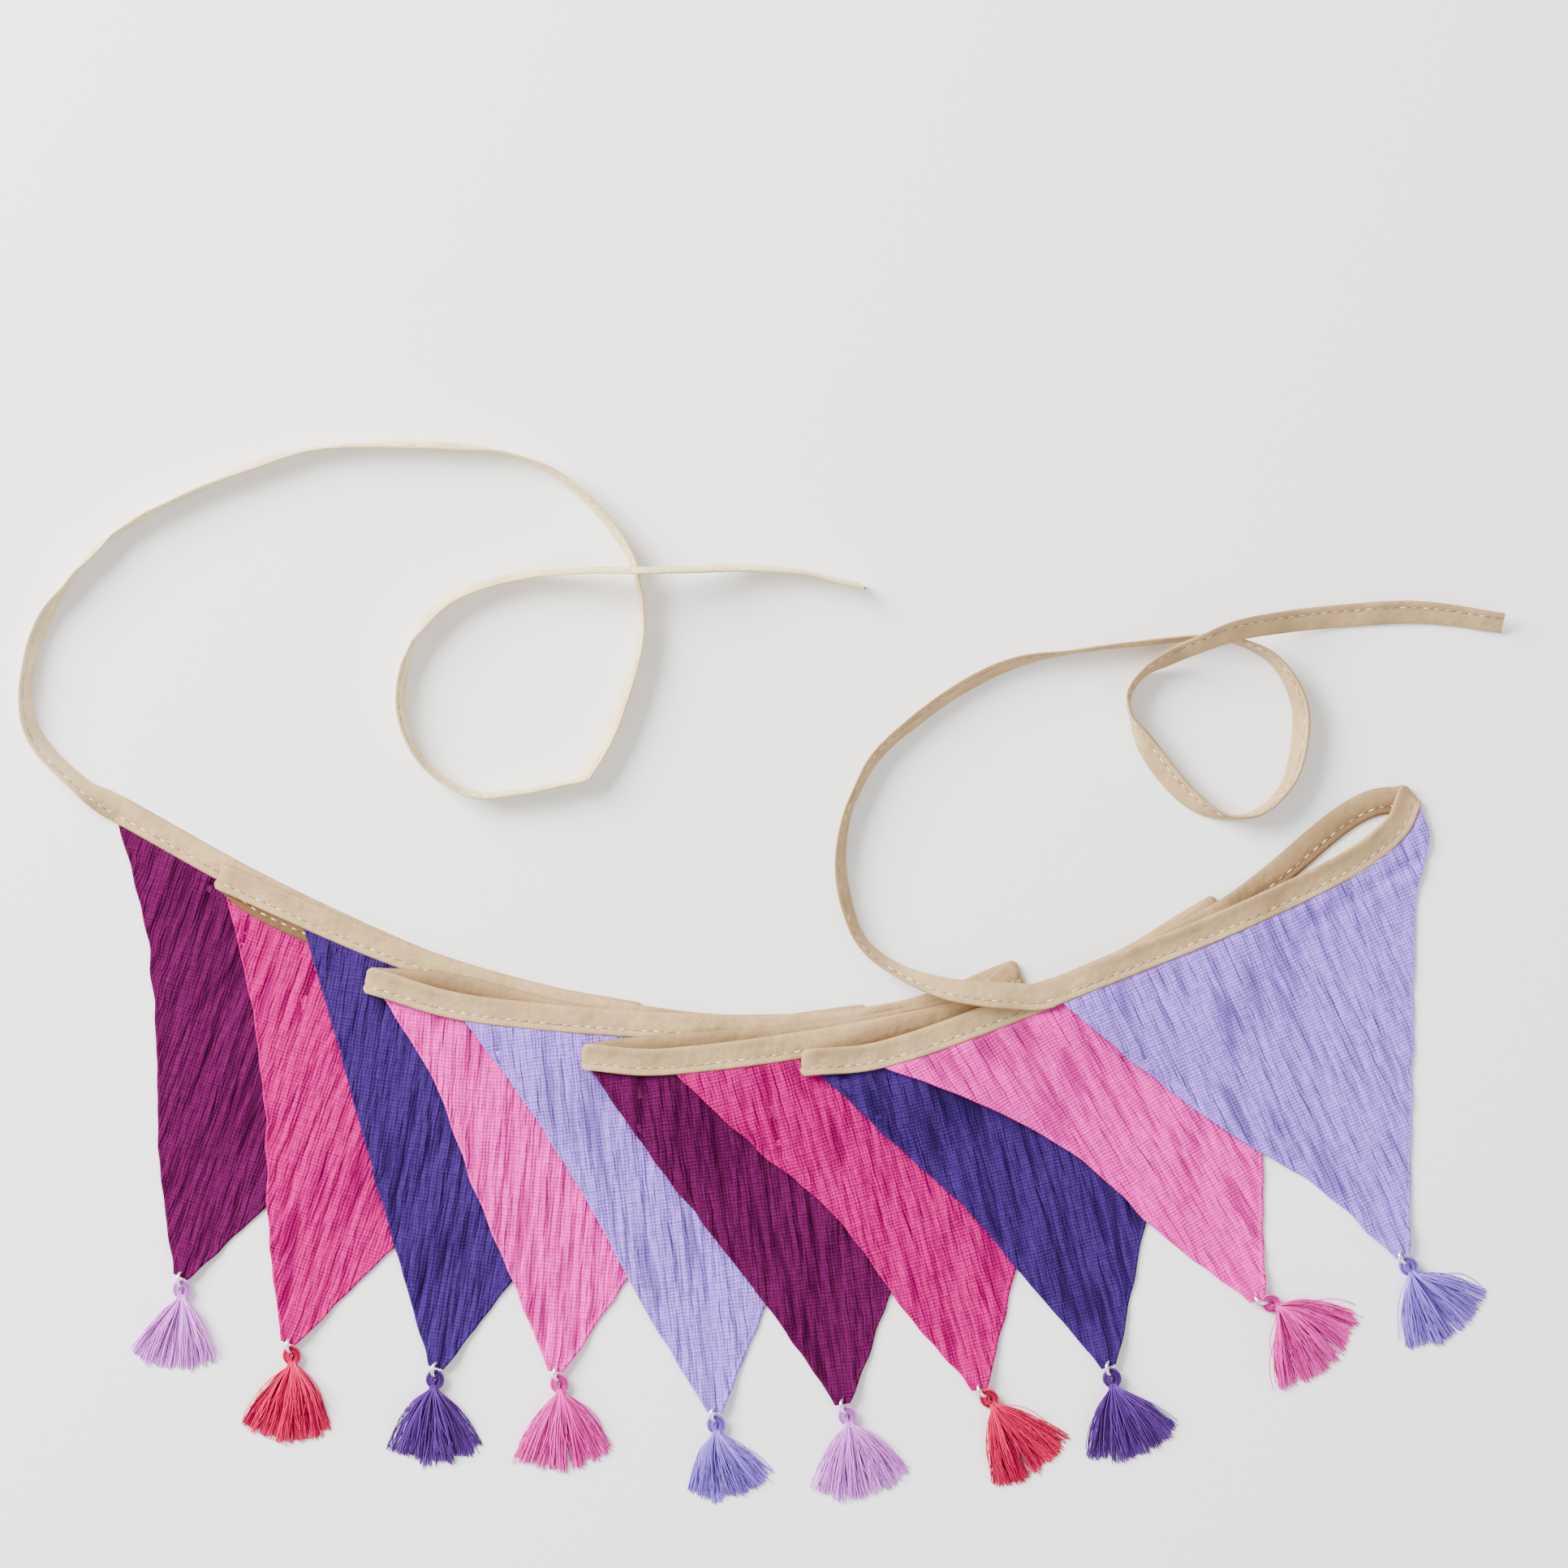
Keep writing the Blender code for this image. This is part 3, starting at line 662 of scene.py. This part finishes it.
def pennant_piece(number, edge, tip, bows, coarse):
    """One pennant row by row, from the tape to the tip, over its coarse grid of heights."""
    axis = tip - (edge[0] + edge[-1]) / 2
    length = np.hypot(*axis)
    axis /= length
    across_way = np.array([-axis[1], axis[0]])
    places, grains, painted_shades = [], [], []
    for depth in np.linspace(0, 1, ROWS):
        width = (1 - depth) * PENNANT_BASE + depth * PENNANT_TIP
        share, over = pennant_shares(width)
        deep = np.full(share.shape, depth)
        flat = pennant_place(edge, tip, bows, share, deep, SHOULDER if number == LAST else 0.0)
        middle = read_grid(coarse, share * (coarse.shape[0] - 1),
                           np.interp(deep, COARSE_DEPTHS, np.arange(len(COARSE_DEPTHS))))
        inset = np.minimum(share, 1 - share) * width * EDGE_SLANT
        across, along = (flat - tip) @ across_way, (flat - tip) @ axis
        below = depth * length
        tucked = bell(below, TUCK_FADES)
        half = half_thickness(inset) * (1 - 0.5 * tucked)
        calm = np.clip(inset / EDGE_CALM, 0.35, 1) * (1 + 0.5 * np.exp(-below / TIP_CRUMPLE))
        calm *= 1 - tucked
        row = [crinkle(a, b, number * CRINKLE_SEED) for a, b in zip(across, along)]
        dip = np.array([r[0] for r in row]) * calm
        if number == LAST:
            dip += soft_fold(flat)
        for from_edge, seed in ((share * width, 5.0), ((1 - share) * width, 9.0)):
            sway = noise.noise(Vector((below / EDGE_WAVE_LENGTH, seed, number)))
            near = bell(from_edge, EDGE_WAVE_REACH) * (1 - tucked)
            flat = flat + (EDGE_WAVE * sway * near)[:, None] * across_way
        sign = np.where(np.arange(len(share)) < over, 1.0, -1.0)
        z = middle + dip + CLOTH_LIFT * (1 - 2 * tucked) + sign * half
        places.append(np.column_stack([flat, np.maximum(z, FLOOR_GAP)]))
        grains.append(np.column_stack([across, along]))
        # Painted shade of the crinkles' bottoms, calmed as the crinkles are.
        painted_shades.append(np.array([r[1] for r in row]) * calm)
    piece = wrapped("pennant_cloth_%02d" % number, np.array(places), GAUZES[(number - 1) % 5],
                    np.array(grains), np.array(painted_shades))
    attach(piece, "root")
    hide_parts("pennant_%02d" % number)
    return piece, axis


# %% [markdown]
# ## Laying it down
# The bunting in the photograph was folded up from its left end, which lies lowest. So each pennant
# is laid together with its run of tape, the lowest first, and rests on the pile made by then.

# %% Lay the runs and pennants, lowest first
runs = []
tips = []
share, depth = np.meshgrid(np.linspace(0, 1, COARSE_COLUMNS), COARSE_DEPTHS, indexing="ij")
for number, (run, flag) in enumerate(zip(RUNS, PENNANTS), 1):
    line, rungs = run_rungs(*run)
    strip = np.stack([line - rungs, line, line + rungs], axis=1)
    strip_middle = rest_heights(strip, TAPE_THICKNESS)
    hem = line - rungs * (1 - 2 * TUCK / TAPE_WIDTH)
    edge = pick(hem, flag[0] + np.linspace(0, 1, EDGE_PLACES) * PENNANT_BASE)
    tip = np.array(flag[1:3]) + SHIFT
    grid = pennant_place(edge, tip, flag[3:], share, depth)
    middle = rest_heights(grid, PENNANT_THICKNESS, PENNANT_THICKNESS / 2 + tip_lift(depth))
    piece, axis = pennant_piece(number, edge, tip, flag[3:], middle)
    below_last = pile.copy()
    add_to_pile(strip, strip_middle, TAPE_THICKNESS)
    add_to_pile(grid, middle, PENNANT_THICKNESS)
    runs.append(np.dstack([strip, strip_middle]))
    tips.append((tip, axis))
print("pile height", round(float(pile.max()), 1), "mm")

# %% [markdown]
# ## Folded tape
# Bias tape has a pressed fold along its top, two layers below it, and a row of stitches near its
# open edge that pulls the layers together. Its section is drawn once, the same on both faces, and
# swept along rungs that turn over at each fold. Painted shade darkens the groove, the two rims and
# the parts that lie in the shade of a fold, through the mesh attribute that carries painted shade.

# %% Tape section and sweep
PUCKER_LIFT, PUCKER_LENGTH = 0.14, 7.0
SWELL, SWELL_LENGTH = 0.35, 12.0
GROOVE_SHADE = 0.18
RIM_SHADE = 0.4
SECTION = [(-5.0, 0.0), (-4.9, 0.3), (-4.3, 0.5), (-3.1, 0.42), (-2.2, 0.16), (-1.3, 0.46),
           (0.5, 0.56), (2.5, 0.6), (4.0, 0.72), (4.8, 0.5), (5.0, 0.0)]
SECTION = np.array(SECTION + [(a, -h) for a, h in SECTION[-2:0:-1]])
# Masks of the painted shade in the stitch groove and along both rims.
GROOVE = bell(SECTION[:, 0], 0.5, -2.2)
RIM = bell(np.abs(SECTION[:, 0]), 0.25, 5)


def sweep_tape(name, lower, middle, upper, shadow, finish, join=0.0):
    """Sweeps the section along three lines: shadow and join darken a row, from 0 to 1."""
    face = face_normals(middle, upper - lower)
    share = SECTION[:, 0] / TAPE_WIDTH + 0.5
    places = []
    for k in range(len(middle)):
        on = np.where(share[:, None] < 0.5,
                      lower[k] + (middle[k] - lower[k]) * share[:, None] * 2,
                      middle[k] + (upper[k] - middle[k]) * (share[:, None] * 2 - 1))
        pucker = PUCKER_LIFT * noise.noise(Vector(middle[k] / PUCKER_LENGTH))
        swell = 1.05 + SWELL * noise.noise(Vector(middle[k] / SWELL_LENGTH))
        places.append(on + face[k] * (SECTION[:, 1] * swell)[:, None] + face[k] * pucker)
    places = np.array(places)
    places[..., 2] = np.maximum(places[..., 2], FLOOR_GAP)
    # Painted shade of each place: a fold's shade, darker towards the open edge, with the groove and
    # the rims.
    deep = shadow[:, None] * (1.5 - share) + GROOVE_SHADE * GROOVE + RIM_SHADE * RIM
    blend = np.reshape(join, (-1, 1))
    return wrapped(name, places, finish, painted_shade=np.clip(blend + (1 - blend) * deep, 0, 1))


# %% [markdown]
# ## The folds
# Every second run travels back to the left, so its rows are taken in reverse, and a half turn of
# rows joins it to the run before. Near a left fold the front run's upper edge stands up a little,
# as pressed tape does, and the run behind it lies in its shade.

# %% Folded binding
FOLD_BULGE = 1.6
FOLD_ROUND = 0.26
FOLD_STEPS = np.radians([20, 45, 70, 90, 110, 135, 160])
RISE = 2.6
RISE_FADES = 55.0
LAST_RISE_FADES = 30.0
FRONT_RUNS = (3, 5, 7, 9)
BACK_RUNS = (2, 4, 6, 8)
BACK_SHADE = 0.25
FOLD_SHADE = 0.6
FOLD_SHADE_FADES = 85.0
OPEN_FOLD_RUN = 9
OPEN_FOLD_SHADE = 0.62
rows, shadows = [], []
for number, run in enumerate(runs, 1):
    reach = reach_along(run[:, 1])
    raised = run.copy()
    shadow = np.zeros(len(run))
    if number in FRONT_RUNS:
        raised[:, 2, 2] += RISE * bell(reach, RISE_FADES)
    if number == LAST:
        raised[:, 2, 2] += RISE * (1 - bell(reach, LAST_RISE_FADES))
    if number in BACK_RUNS:
        shadow += FOLD_SHADE * bell(reach, FOLD_SHADE_FADES) + BACK_SHADE
    if number == OPEN_FOLD_RUN:
        shadow += OPEN_FOLD_SHADE * np.clip((reach / reach[-1] - 0.5) / 0.2, 0, 1)
    travel, shadow = (raised, shadow) if number % 2 else (raised[::-1], shadow[::-1])
    if rows:
        side = -1 if number % 2 else 1
        out = math.radians(RUNS[number - 1][0 if number % 2 else 1]) - side * math.pi / 2
        outward = np.array([math.cos(out), math.sin(out), 0])
        centre, half = (rows[-1] + travel[0]) / 2, (travel[0] - rows[-1]) / 2
        for a in FOLD_STEPS:
            row = centre - half * math.cos(a) + outward * FOLD_BULGE * math.sin(a)
            row += (row[1] - row) * FOLD_ROUND * math.sin(a) ** 3
            rows.append(row)
        shadows += list(np.interp(FOLD_STEPS, [0, math.pi], [shadows[-1], shadow[0]]))
    rows += list(travel)
    shadows += list(shadow)
    runs[number - 1] = raised
rows = np.array(rows)
binding = sweep_tape("tape_folded", rows[:, 0], rows[:, 1], rows[:, 2],
                     np.array(shadows), TAPE_COTTON)
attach(binding, "root")
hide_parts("binding")

# %% [markdown]
# ## Ties
# The free ends are the same tape, standing on its open edge wherever it looks narrow from above.
# The roll is worked out from the width that is seen, and the height from the roll, so that the
# lower edge rests on the floor. One long low hump carries each tie over itself. Each row of the
# tables is a place, the width that is seen there, negative where the tape shows its other face,
# and how far the tape is lifted, all in millimetres.

# %% Tie routes
LEFT_TIE = [
    (-250.4, 123.7, 10, 0), (-256.2, 126.9, 9.5, 0), (-265, 133, 6.4, 0), (-281, 150, 5.8, 0),
    (-284.5, 170, 4.5, 0), (-277, 195, 5, 0), (-260, 218, -3.3, 0), (-241, 232, 1.8, 0),
    (-204, 249, -3, 0), (-174, 257, -1.9, 0), (-126, 257.5, -3, 0), (-97, 252, 1.8, 0),
    (-78, 239, 3.3, 0), (-62, 219, 3.3, 0), (-57, 200, 1.8, 0), (-58, 182, 3, 0),
    (-68, 153, 4.6, 0), (-76, 139, 5, 0), (-78, 135, 3.4, 0), (-82.5, 133.5, 1.8, 0),
    (-102, 130, 2.4, 0), (-121, 129.5, 2.8, 0), (-138, 141, 2.7, 0), (-146, 159, 3.2, 0),
    (-144.5, 177, 3, 0), (-139, 190, -3, 0), (-126, 202, -3.6, 0), (-105, 209, -3.2, 0),
    (-80, 211.5, -2.8, 5), (-57.5, 211.5, -3, 11), (-38, 212, -3, 6), (-18, 212.5, -2.8, 1),
    (2, 211, -2.1, 0), (25, 205.5, -2.1, 0),
]
RIGHT_TIE = [
    (95.05, 56.3, 10, 0), (90.4, 54.5, 10, 0), (81, 54.8, 10, 0), (67, 56, 9.4, 0),
    (54, 58, 7.8, 0), (38, 64, 5.1, 0), (24, 75, 4.5, 0), (17, 95, 4.8, 0), (17, 114, 3.9, 0),
    (22, 130, 3.4, 0), (31, 145, 4.2, 0), (54, 164, 4.8, 0), (78, 177, 4.5, 0),
    (102, 182, 1.5, 0), (126, 185, 1.9, 0), (147, 187, 2.2, 0), (162, 186, 2.7, 0),
    (177, 178.5, 4.2, 0), (186, 162, 5.8, 0), (185, 143, 5.7, 0), (179, 129.5, 3.9, 0),
    (168, 121.5, 2.4, 0), (155, 122, -3.8, 0), (142, 131, -7.5, 0), (129, 148, -6.6, 0),
    (122.5, 163, 1.6, 0), (127, 173, 2.8, 0), (138, 180, 5.7, 4), (150, 185, 6.5, 10),
    (162, 189.5, 7.5, 10.5), (178, 192.5, 8, 4), (200, 195, 8.4, 0), (230, 196.5, 8.2, 0),
    (261, 192.5, 7.2, 0),
]


# %% Ties
TIE_STEP = 2.5
TIE_CLEARANCE = 0.08
FOLD_ROWS = 3
JOIN_ROWS = 2.5
# Near its join, a tie's painted light fades into the folded tape's colour by these shares.
JOIN_SHADE = {TAPE_COTTON: 0.0, PAINTED_LIGHT_COTTON: 0.95}
JOIN_SHADE_POWER = 0.03


def tie(name, node, route, first_turn, ground, end_row, finish):
    """A free end along its route, whose first rows ease into the folded tape's end row."""
    line = smooth_line(np.array(route, float) + np.append(SHIFT, [0, 0]))
    length = lengths_along(line)[-1]
    line = pick(line, np.linspace(0, length, round(length / TIE_STEP)))
    seen = np.clip((np.abs(line[:, 2]) - TAPE_THICKNESS) / (TAPE_WIDTH - TAPE_THICKNESS), 0, 1)
    roll = np.arccos(seen * np.sign(line[:, 2]))
    square = headings(line) + math.pi / 2
    square[:FOLD_ROWS] = math.radians(first_turn)
    height = (clear_heights(line, ground) + TIE_CLEARANCE + np.maximum(0, line[:, 3])
              + TAPE_WIDTH / 2 * np.sin(roll) + TAPE_THICKNESS / 2 * np.abs(np.cos(roll)))
    centre = np.column_stack([line[:, :2], height])
    half = -np.column_stack([np.cos(square) * np.cos(roll), np.sin(square) * np.cos(roll),
                             np.sin(roll)]) * TAPE_WIDTH / 2
    ease = bell(np.arange(len(line)), JOIN_ROWS)[:, None]
    centre += (end_row[1] - centre[0]) * ease
    half += ((end_row[2] - end_row[0]) / 2 - half[0]) * ease
    piece = sweep_tape(name, centre - half, centre, centre + half, np.zeros(len(line)), finish,
                       JOIN_SHADE[finish] * ease[:, 0] ** JOIN_SHADE_POWER)
    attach(piece, "root")
    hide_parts(node)
    return centre, half


left = tie("tie_tape_left", "tie_left", LEFT_TIE, 241, np.zeros_like(pile), rows[0], PAINTED_LIGHT_COTTON)
right = tie("tie_tape_right", "tie_right", RIGHT_TIE, 291, below_last, rows[-1], TAPE_COTTON)

# %% [markdown]
# ## Stitches
# A sewing machine leaves one short stitch every four millimetres, about three millimetres above
# the tape's open edge. Each stitch is a small stretched ball of thread that sits in the groove,
# and a dark flat one between two stitches is painted shade where the needle's hole lies.

# %% Stitches
STITCH_START = 1.5
STITCH_PITCH = 4.2
STITCH_LENGTH = 2.9
STITCH_RADIUS = 0.25
STITCH_LIFT = 0.32
HOLE_RADIUS = 0.24
HOLE_LIFT = 0.16
SEAM = 0.44


def stitch_row(bm, hole_shades, line, face):
    """Lays stitches along a line of places, with a dark spot of painted shade for the needle hole
    after each.
    """
    reach = reach_along(line)
    for start in np.arange(STITCH_START, reach[-1] - STITCH_LENGTH, STITCH_PITCH):
        ends = [np.array([np.interp(d, reach, line[:, k]) for k in range(3)])
                for d in (start, start + STITCH_LENGTH)]
        out = np.array([np.interp(start, reach, face[:, k]) for k in range(3)])
        way = Vector(ends[1] - ends[0])
        centre = Vector((ends[0] + ends[1]) / 2 + out * STITCH_LIFT)
        turn = way.to_track_quat("X", "Z").to_matrix().to_4x4()
        shape = Matrix.Diagonal((way.length / 2, STITCH_RADIUS, STITCH_RADIUS, 1))
        bmesh.ops.create_icosphere(bm, subdivisions=1, radius=1.0,
                                   matrix=Matrix.Translation(centre) @ turn @ shape)
        gap = (Vector(ends[1] + out * HOLE_LIFT)
               + way.normalized() * (STITCH_PITCH - STITCH_LENGTH) / 2)
        hole = Matrix.Diagonal((HOLE_RADIUS * 2.2, HOLE_RADIUS, HOLE_RADIUS * 0.7, 1))
        bmesh.ops.create_icosphere(hole_shades, subdivisions=1, radius=1.0,
                                   matrix=Matrix.Translation(gap) @ turn @ hole)


stitch_bm, hole_shade_bm = bmesh.new(), bmesh.new()
for run in runs:
    seam = run[:, 0] + (run[:, 1] - run[:, 0]) * (1 - SEAM)
    stitch_row(stitch_bm, hole_shade_bm, seam, face_normals(run[:, 1], run[:, 2] - run[:, 0]))
for centre, half in (left, right):
    for side in (-1, 1):
        stitch_row(stitch_bm, hole_shade_bm, centre - half * SEAM, face_normals(centre, half) * side)
for name, bm, finish in (("tape_stitches", stitch_bm, SEWING_THREAD),
                         ("needle_hole_shade", hole_shade_bm, NEEDLE_HOLE_SHADE)):
    bmesh.ops.scale(bm, vec=(MM, MM, MM), verts=bm.verts)
    row = piece_from(bm, name, finish)
    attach(row, "root")
    print(name, len(row.data.polygons), "faces")

# %% [markdown]
# ## Rings
# A ring is bent from round wire, so a small circle is spun into a torus. It leans in the pennant's
# tip and in the tassel's loop, as the part holds it. The table has a row for each tassel: where
# its head and its middle point, in degrees to the right of straight down, how far its skirt fans
# out to either side, also in degrees, and its length in millimetres.

# %% Rings
RING_RADIUS = 2.6
RING_WIRE = 0.6
RING_LEAN = math.radians(30)
WIRE_SIDES = 12
RING_STEPS = 48
RING_MERGE = 0.001
HOLE_TO_TIP = 2.0
TASSELS = [
    (-2, -9, 31, 26),
    (4, -6, 32, 28),
    (-7, 3, 33, 27),
    (7, 3, 34, 28),
    (5, 18, 35, 24),
    (14, 13, 35, 27),
    (35, 33, 30, 29),
    (10, 19, 35, 27),
    (63, 38, 39, 29),
    (27, 38, 36, 27),
]


def ring_piece(number, place, heading):
    """A wire ring at its place, leaning about the tassel's heading."""
    bm = bmesh.new()
    bmesh.ops.create_circle(bm, segments=WIRE_SIDES, radius=RING_WIRE)
    bmesh.ops.translate(bm, vec=(RING_RADIUS, 0, 0), verts=bm.verts)
    bmesh.ops.spin(bm, geom=bm.verts[:] + bm.edges[:], cent=(0, 0, 0), axis=(0, 1, 0),
                   angle=2 * math.pi, steps=RING_STEPS, use_merge=True)
    bmesh.ops.remove_doubles(bm, verts=bm.verts, dist=RING_MERGE)
    spot = (Matrix.Scale(MM, 4) @ Matrix.Translation(place) @ Matrix.Rotation(heading, 4, "Z")
            @ Matrix.Rotation(RING_LEAN, 4, "X"))
    bmesh.ops.transform(bm, matrix=spot, verts=bm.verts)
    bmesh.ops.recalc_face_normals(bm, faces=bm.faces)
    ring = piece_from(bm, "ring_wire_%02d" % number, WIRE)
    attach(ring, "root")
    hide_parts("ring_%02d" % number)


# %% [markdown]
# ## Tassels
# A tassel is a hank of thread looped through the ring, wrapped at its neck and cut. Every strand is
# a bevelled curve of its own, which keeps the strands round and separate, and a second bundle of
# curves makes the loop and the wrap. Hair particles would look alike but don't export.

# %% Tassel strands
STRANDS = 360
STRAND_RADIUS = 0.17
STRAND_STEPS = 8
STRAY_SHARE = 0.03
CLUMPS = 26
LOOP_THREADS = 40
LOOP_MIDDLE = 4.0
LOOP_RADIUS = 2.0
LOOP_HALF_THICKNESS = 1.45
THREAD_TURN = 2.4
NECK = 8.8
NECK_HALF_WIDTH = 1.7
WRAP_POINTS = 90
WRAP_TURNS = 7
WRAP_LENGTH = 2.2


def strand_path(bend, half_spread, length, clump):
    """One skirt strand in the tassel's own frame, x away from the ring.

    A clump has its place across, from -1 to 1, its layer, from 0 to 1, and how much longer or
    shorter it is cut than the others. Most small numbers below are amounts of chance scatter.
    """
    share, layer, slant = clump
    stray = chance.random() < STRAY_SHARE
    across = share + chance.gauss(0, 0.05)
    across = max(-1.08, min(1.08, across))
    reach = (length - 0.8) * (1.0 - 0.03 * across ** 2 + slant + chance.gauss(0, 0.025))
    if stray:
        across *= 1.22
        reach *= chance.uniform(0.8, 1.08)
    layer = min(1, max(0, layer + chance.gauss(0, 0.2)))
    points = [Vector((NECK - 3.0, across * 0.9, 1.5 + 1.2 * (layer - 0.5)))]
    x, y = NECK - 1.0, across * NECK_HALF_WIDTH
    wave, phase = chance.gauss(0, 0.12), chance.uniform(0, 6.3)
    for k in range(STRAND_STEPS + 1):
        s = k / STRAND_STEPS
        height = (0.3 + layer * 1.1 * (1 - s)
                  + layer * 4.0 * math.sin(math.pi * min(1, s * 0.8 + 0.18)) + (1 - s) ** 3)
        points.append(Vector((x, y, max(STRAND_RADIUS, height))))
        splay = across * half_spread * (1.38 - 0.55 * min(1, s * 1.4))
        way = bend * min(1, 0.5 + s * 1.5) + splay + wave * math.sin(s * 6 + phase)
        x += math.cos(way) * reach / STRAND_STEPS
        y += math.sin(way) * reach / STRAND_STEPS
    return points


def loop_path(k):
    """One thread of the head, out from the neck, round the ring and back."""
    spin = k * THREAD_TURN
    offset = LOOP_HALF_THICKNESS * math.sqrt((k + 0.5) / LOOP_THREADS)
    points = []
    for a in np.radians(np.arange(205, -206, -22)):
        radius = LOOP_RADIUS + offset * math.cos(spin)
        x = LOOP_MIDDLE - math.cos(a) * radius * 1.15
        y = math.sin(a) * radius * min(1.0, 0.55 + 0.45 * (NECK - x) / 3)
        z = 2.1 - (x - LOOP_MIDDLE) * 0.2 + offset * math.sin(spin + a * 0.4)
        points.append(Vector((x, y, max(0.3, z))))
    return points


def wrap_path():
    """The thread wound round the neck."""
    points = []
    for k in range(WRAP_POINTS + 1):
        a = k / WRAP_POINTS * WRAP_TURNS * 2 * math.pi
        points.append(Vector((NECK - WRAP_LENGTH + WRAP_LENGTH * k / WRAP_POINTS,
                              1.75 * math.cos(a), 1.85 + 1.5 * math.sin(a))))
    return points


def tassel_piece(number, place, heading, bend, half_spread, length):
    """A tassel's threads as curves, turned into one mesh: gives back its number of faces."""
    curve = bpy.data.curves.new("tassel_curves", "CURVE")
    curve.dimensions = "3D"
    curve.bevel_depth = STRAND_RADIUS * MM
    curve.bevel_resolution = 0
    curve.use_fill_caps = True
    spot = Matrix.Scale(MM, 4) @ Matrix.Translation(place) @ Matrix.Rotation(heading, 4, "Z")
    clumps = [(2 * (k + 0.5) / CLUMPS - 1 + chance.gauss(0, 0.03), chance.random(),
               chance.gauss(0, 0.028)) for k in range(CLUMPS)]
    paths = [strand_path(bend, half_spread, length, chance.choice(clumps))
             for _ in range(STRANDS)]
    paths += [loop_path(k) for k in range(LOOP_THREADS)] + [wrap_path()]
    for path in paths:
        spline = curve.splines.new("POLY")
        spline.points.add(len(path) - 1)
        for point, co in zip(spline.points, path):
            point.co = (*(spot @ co), 1)
        spline.use_smooth = True
    holder = bpy.data.objects.new("tassel_curves", curve)
    bpy.context.scene.collection.objects.link(holder)
    bpy.context.view_layer.update()
    mesh = bpy.data.meshes.new_from_object(holder.evaluated_get(
        bpy.context.evaluated_depsgraph_get()))
    bpy.data.objects.remove(holder)
    mesh.name = "tassel_threads_%02d" % number
    mesh.materials.clear()
    mesh.materials.append(FLOSSES[(number - 1) % 5])
    tassel = bpy.data.objects.new(mesh.name, mesh)
    bpy.context.scene.collection.objects.link(tassel)
    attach(tassel, "root")
    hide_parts("tassel_%02d" % number)
    return len(mesh.polygons)


for number, ((tip, axis), (head, middle, half_spread, length)) in enumerate(
        zip(tips, TASSELS), 1):
    heading = math.radians(head - 90)
    ring_at = tip - axis * HOLE_TO_TIP + np.array([math.cos(heading), math.sin(heading)]) * RING_RADIUS
    rise = RING_RADIUS * math.cos(RING_LEAN) + RING_WIRE
    ring_piece(number, (*ring_at, rise), heading)
    faces = tassel_piece(number, (*ring_at, 0), heading, math.radians(middle - head),
                         math.radians(half_spread), length)
print("faces in the last tassel", faces)
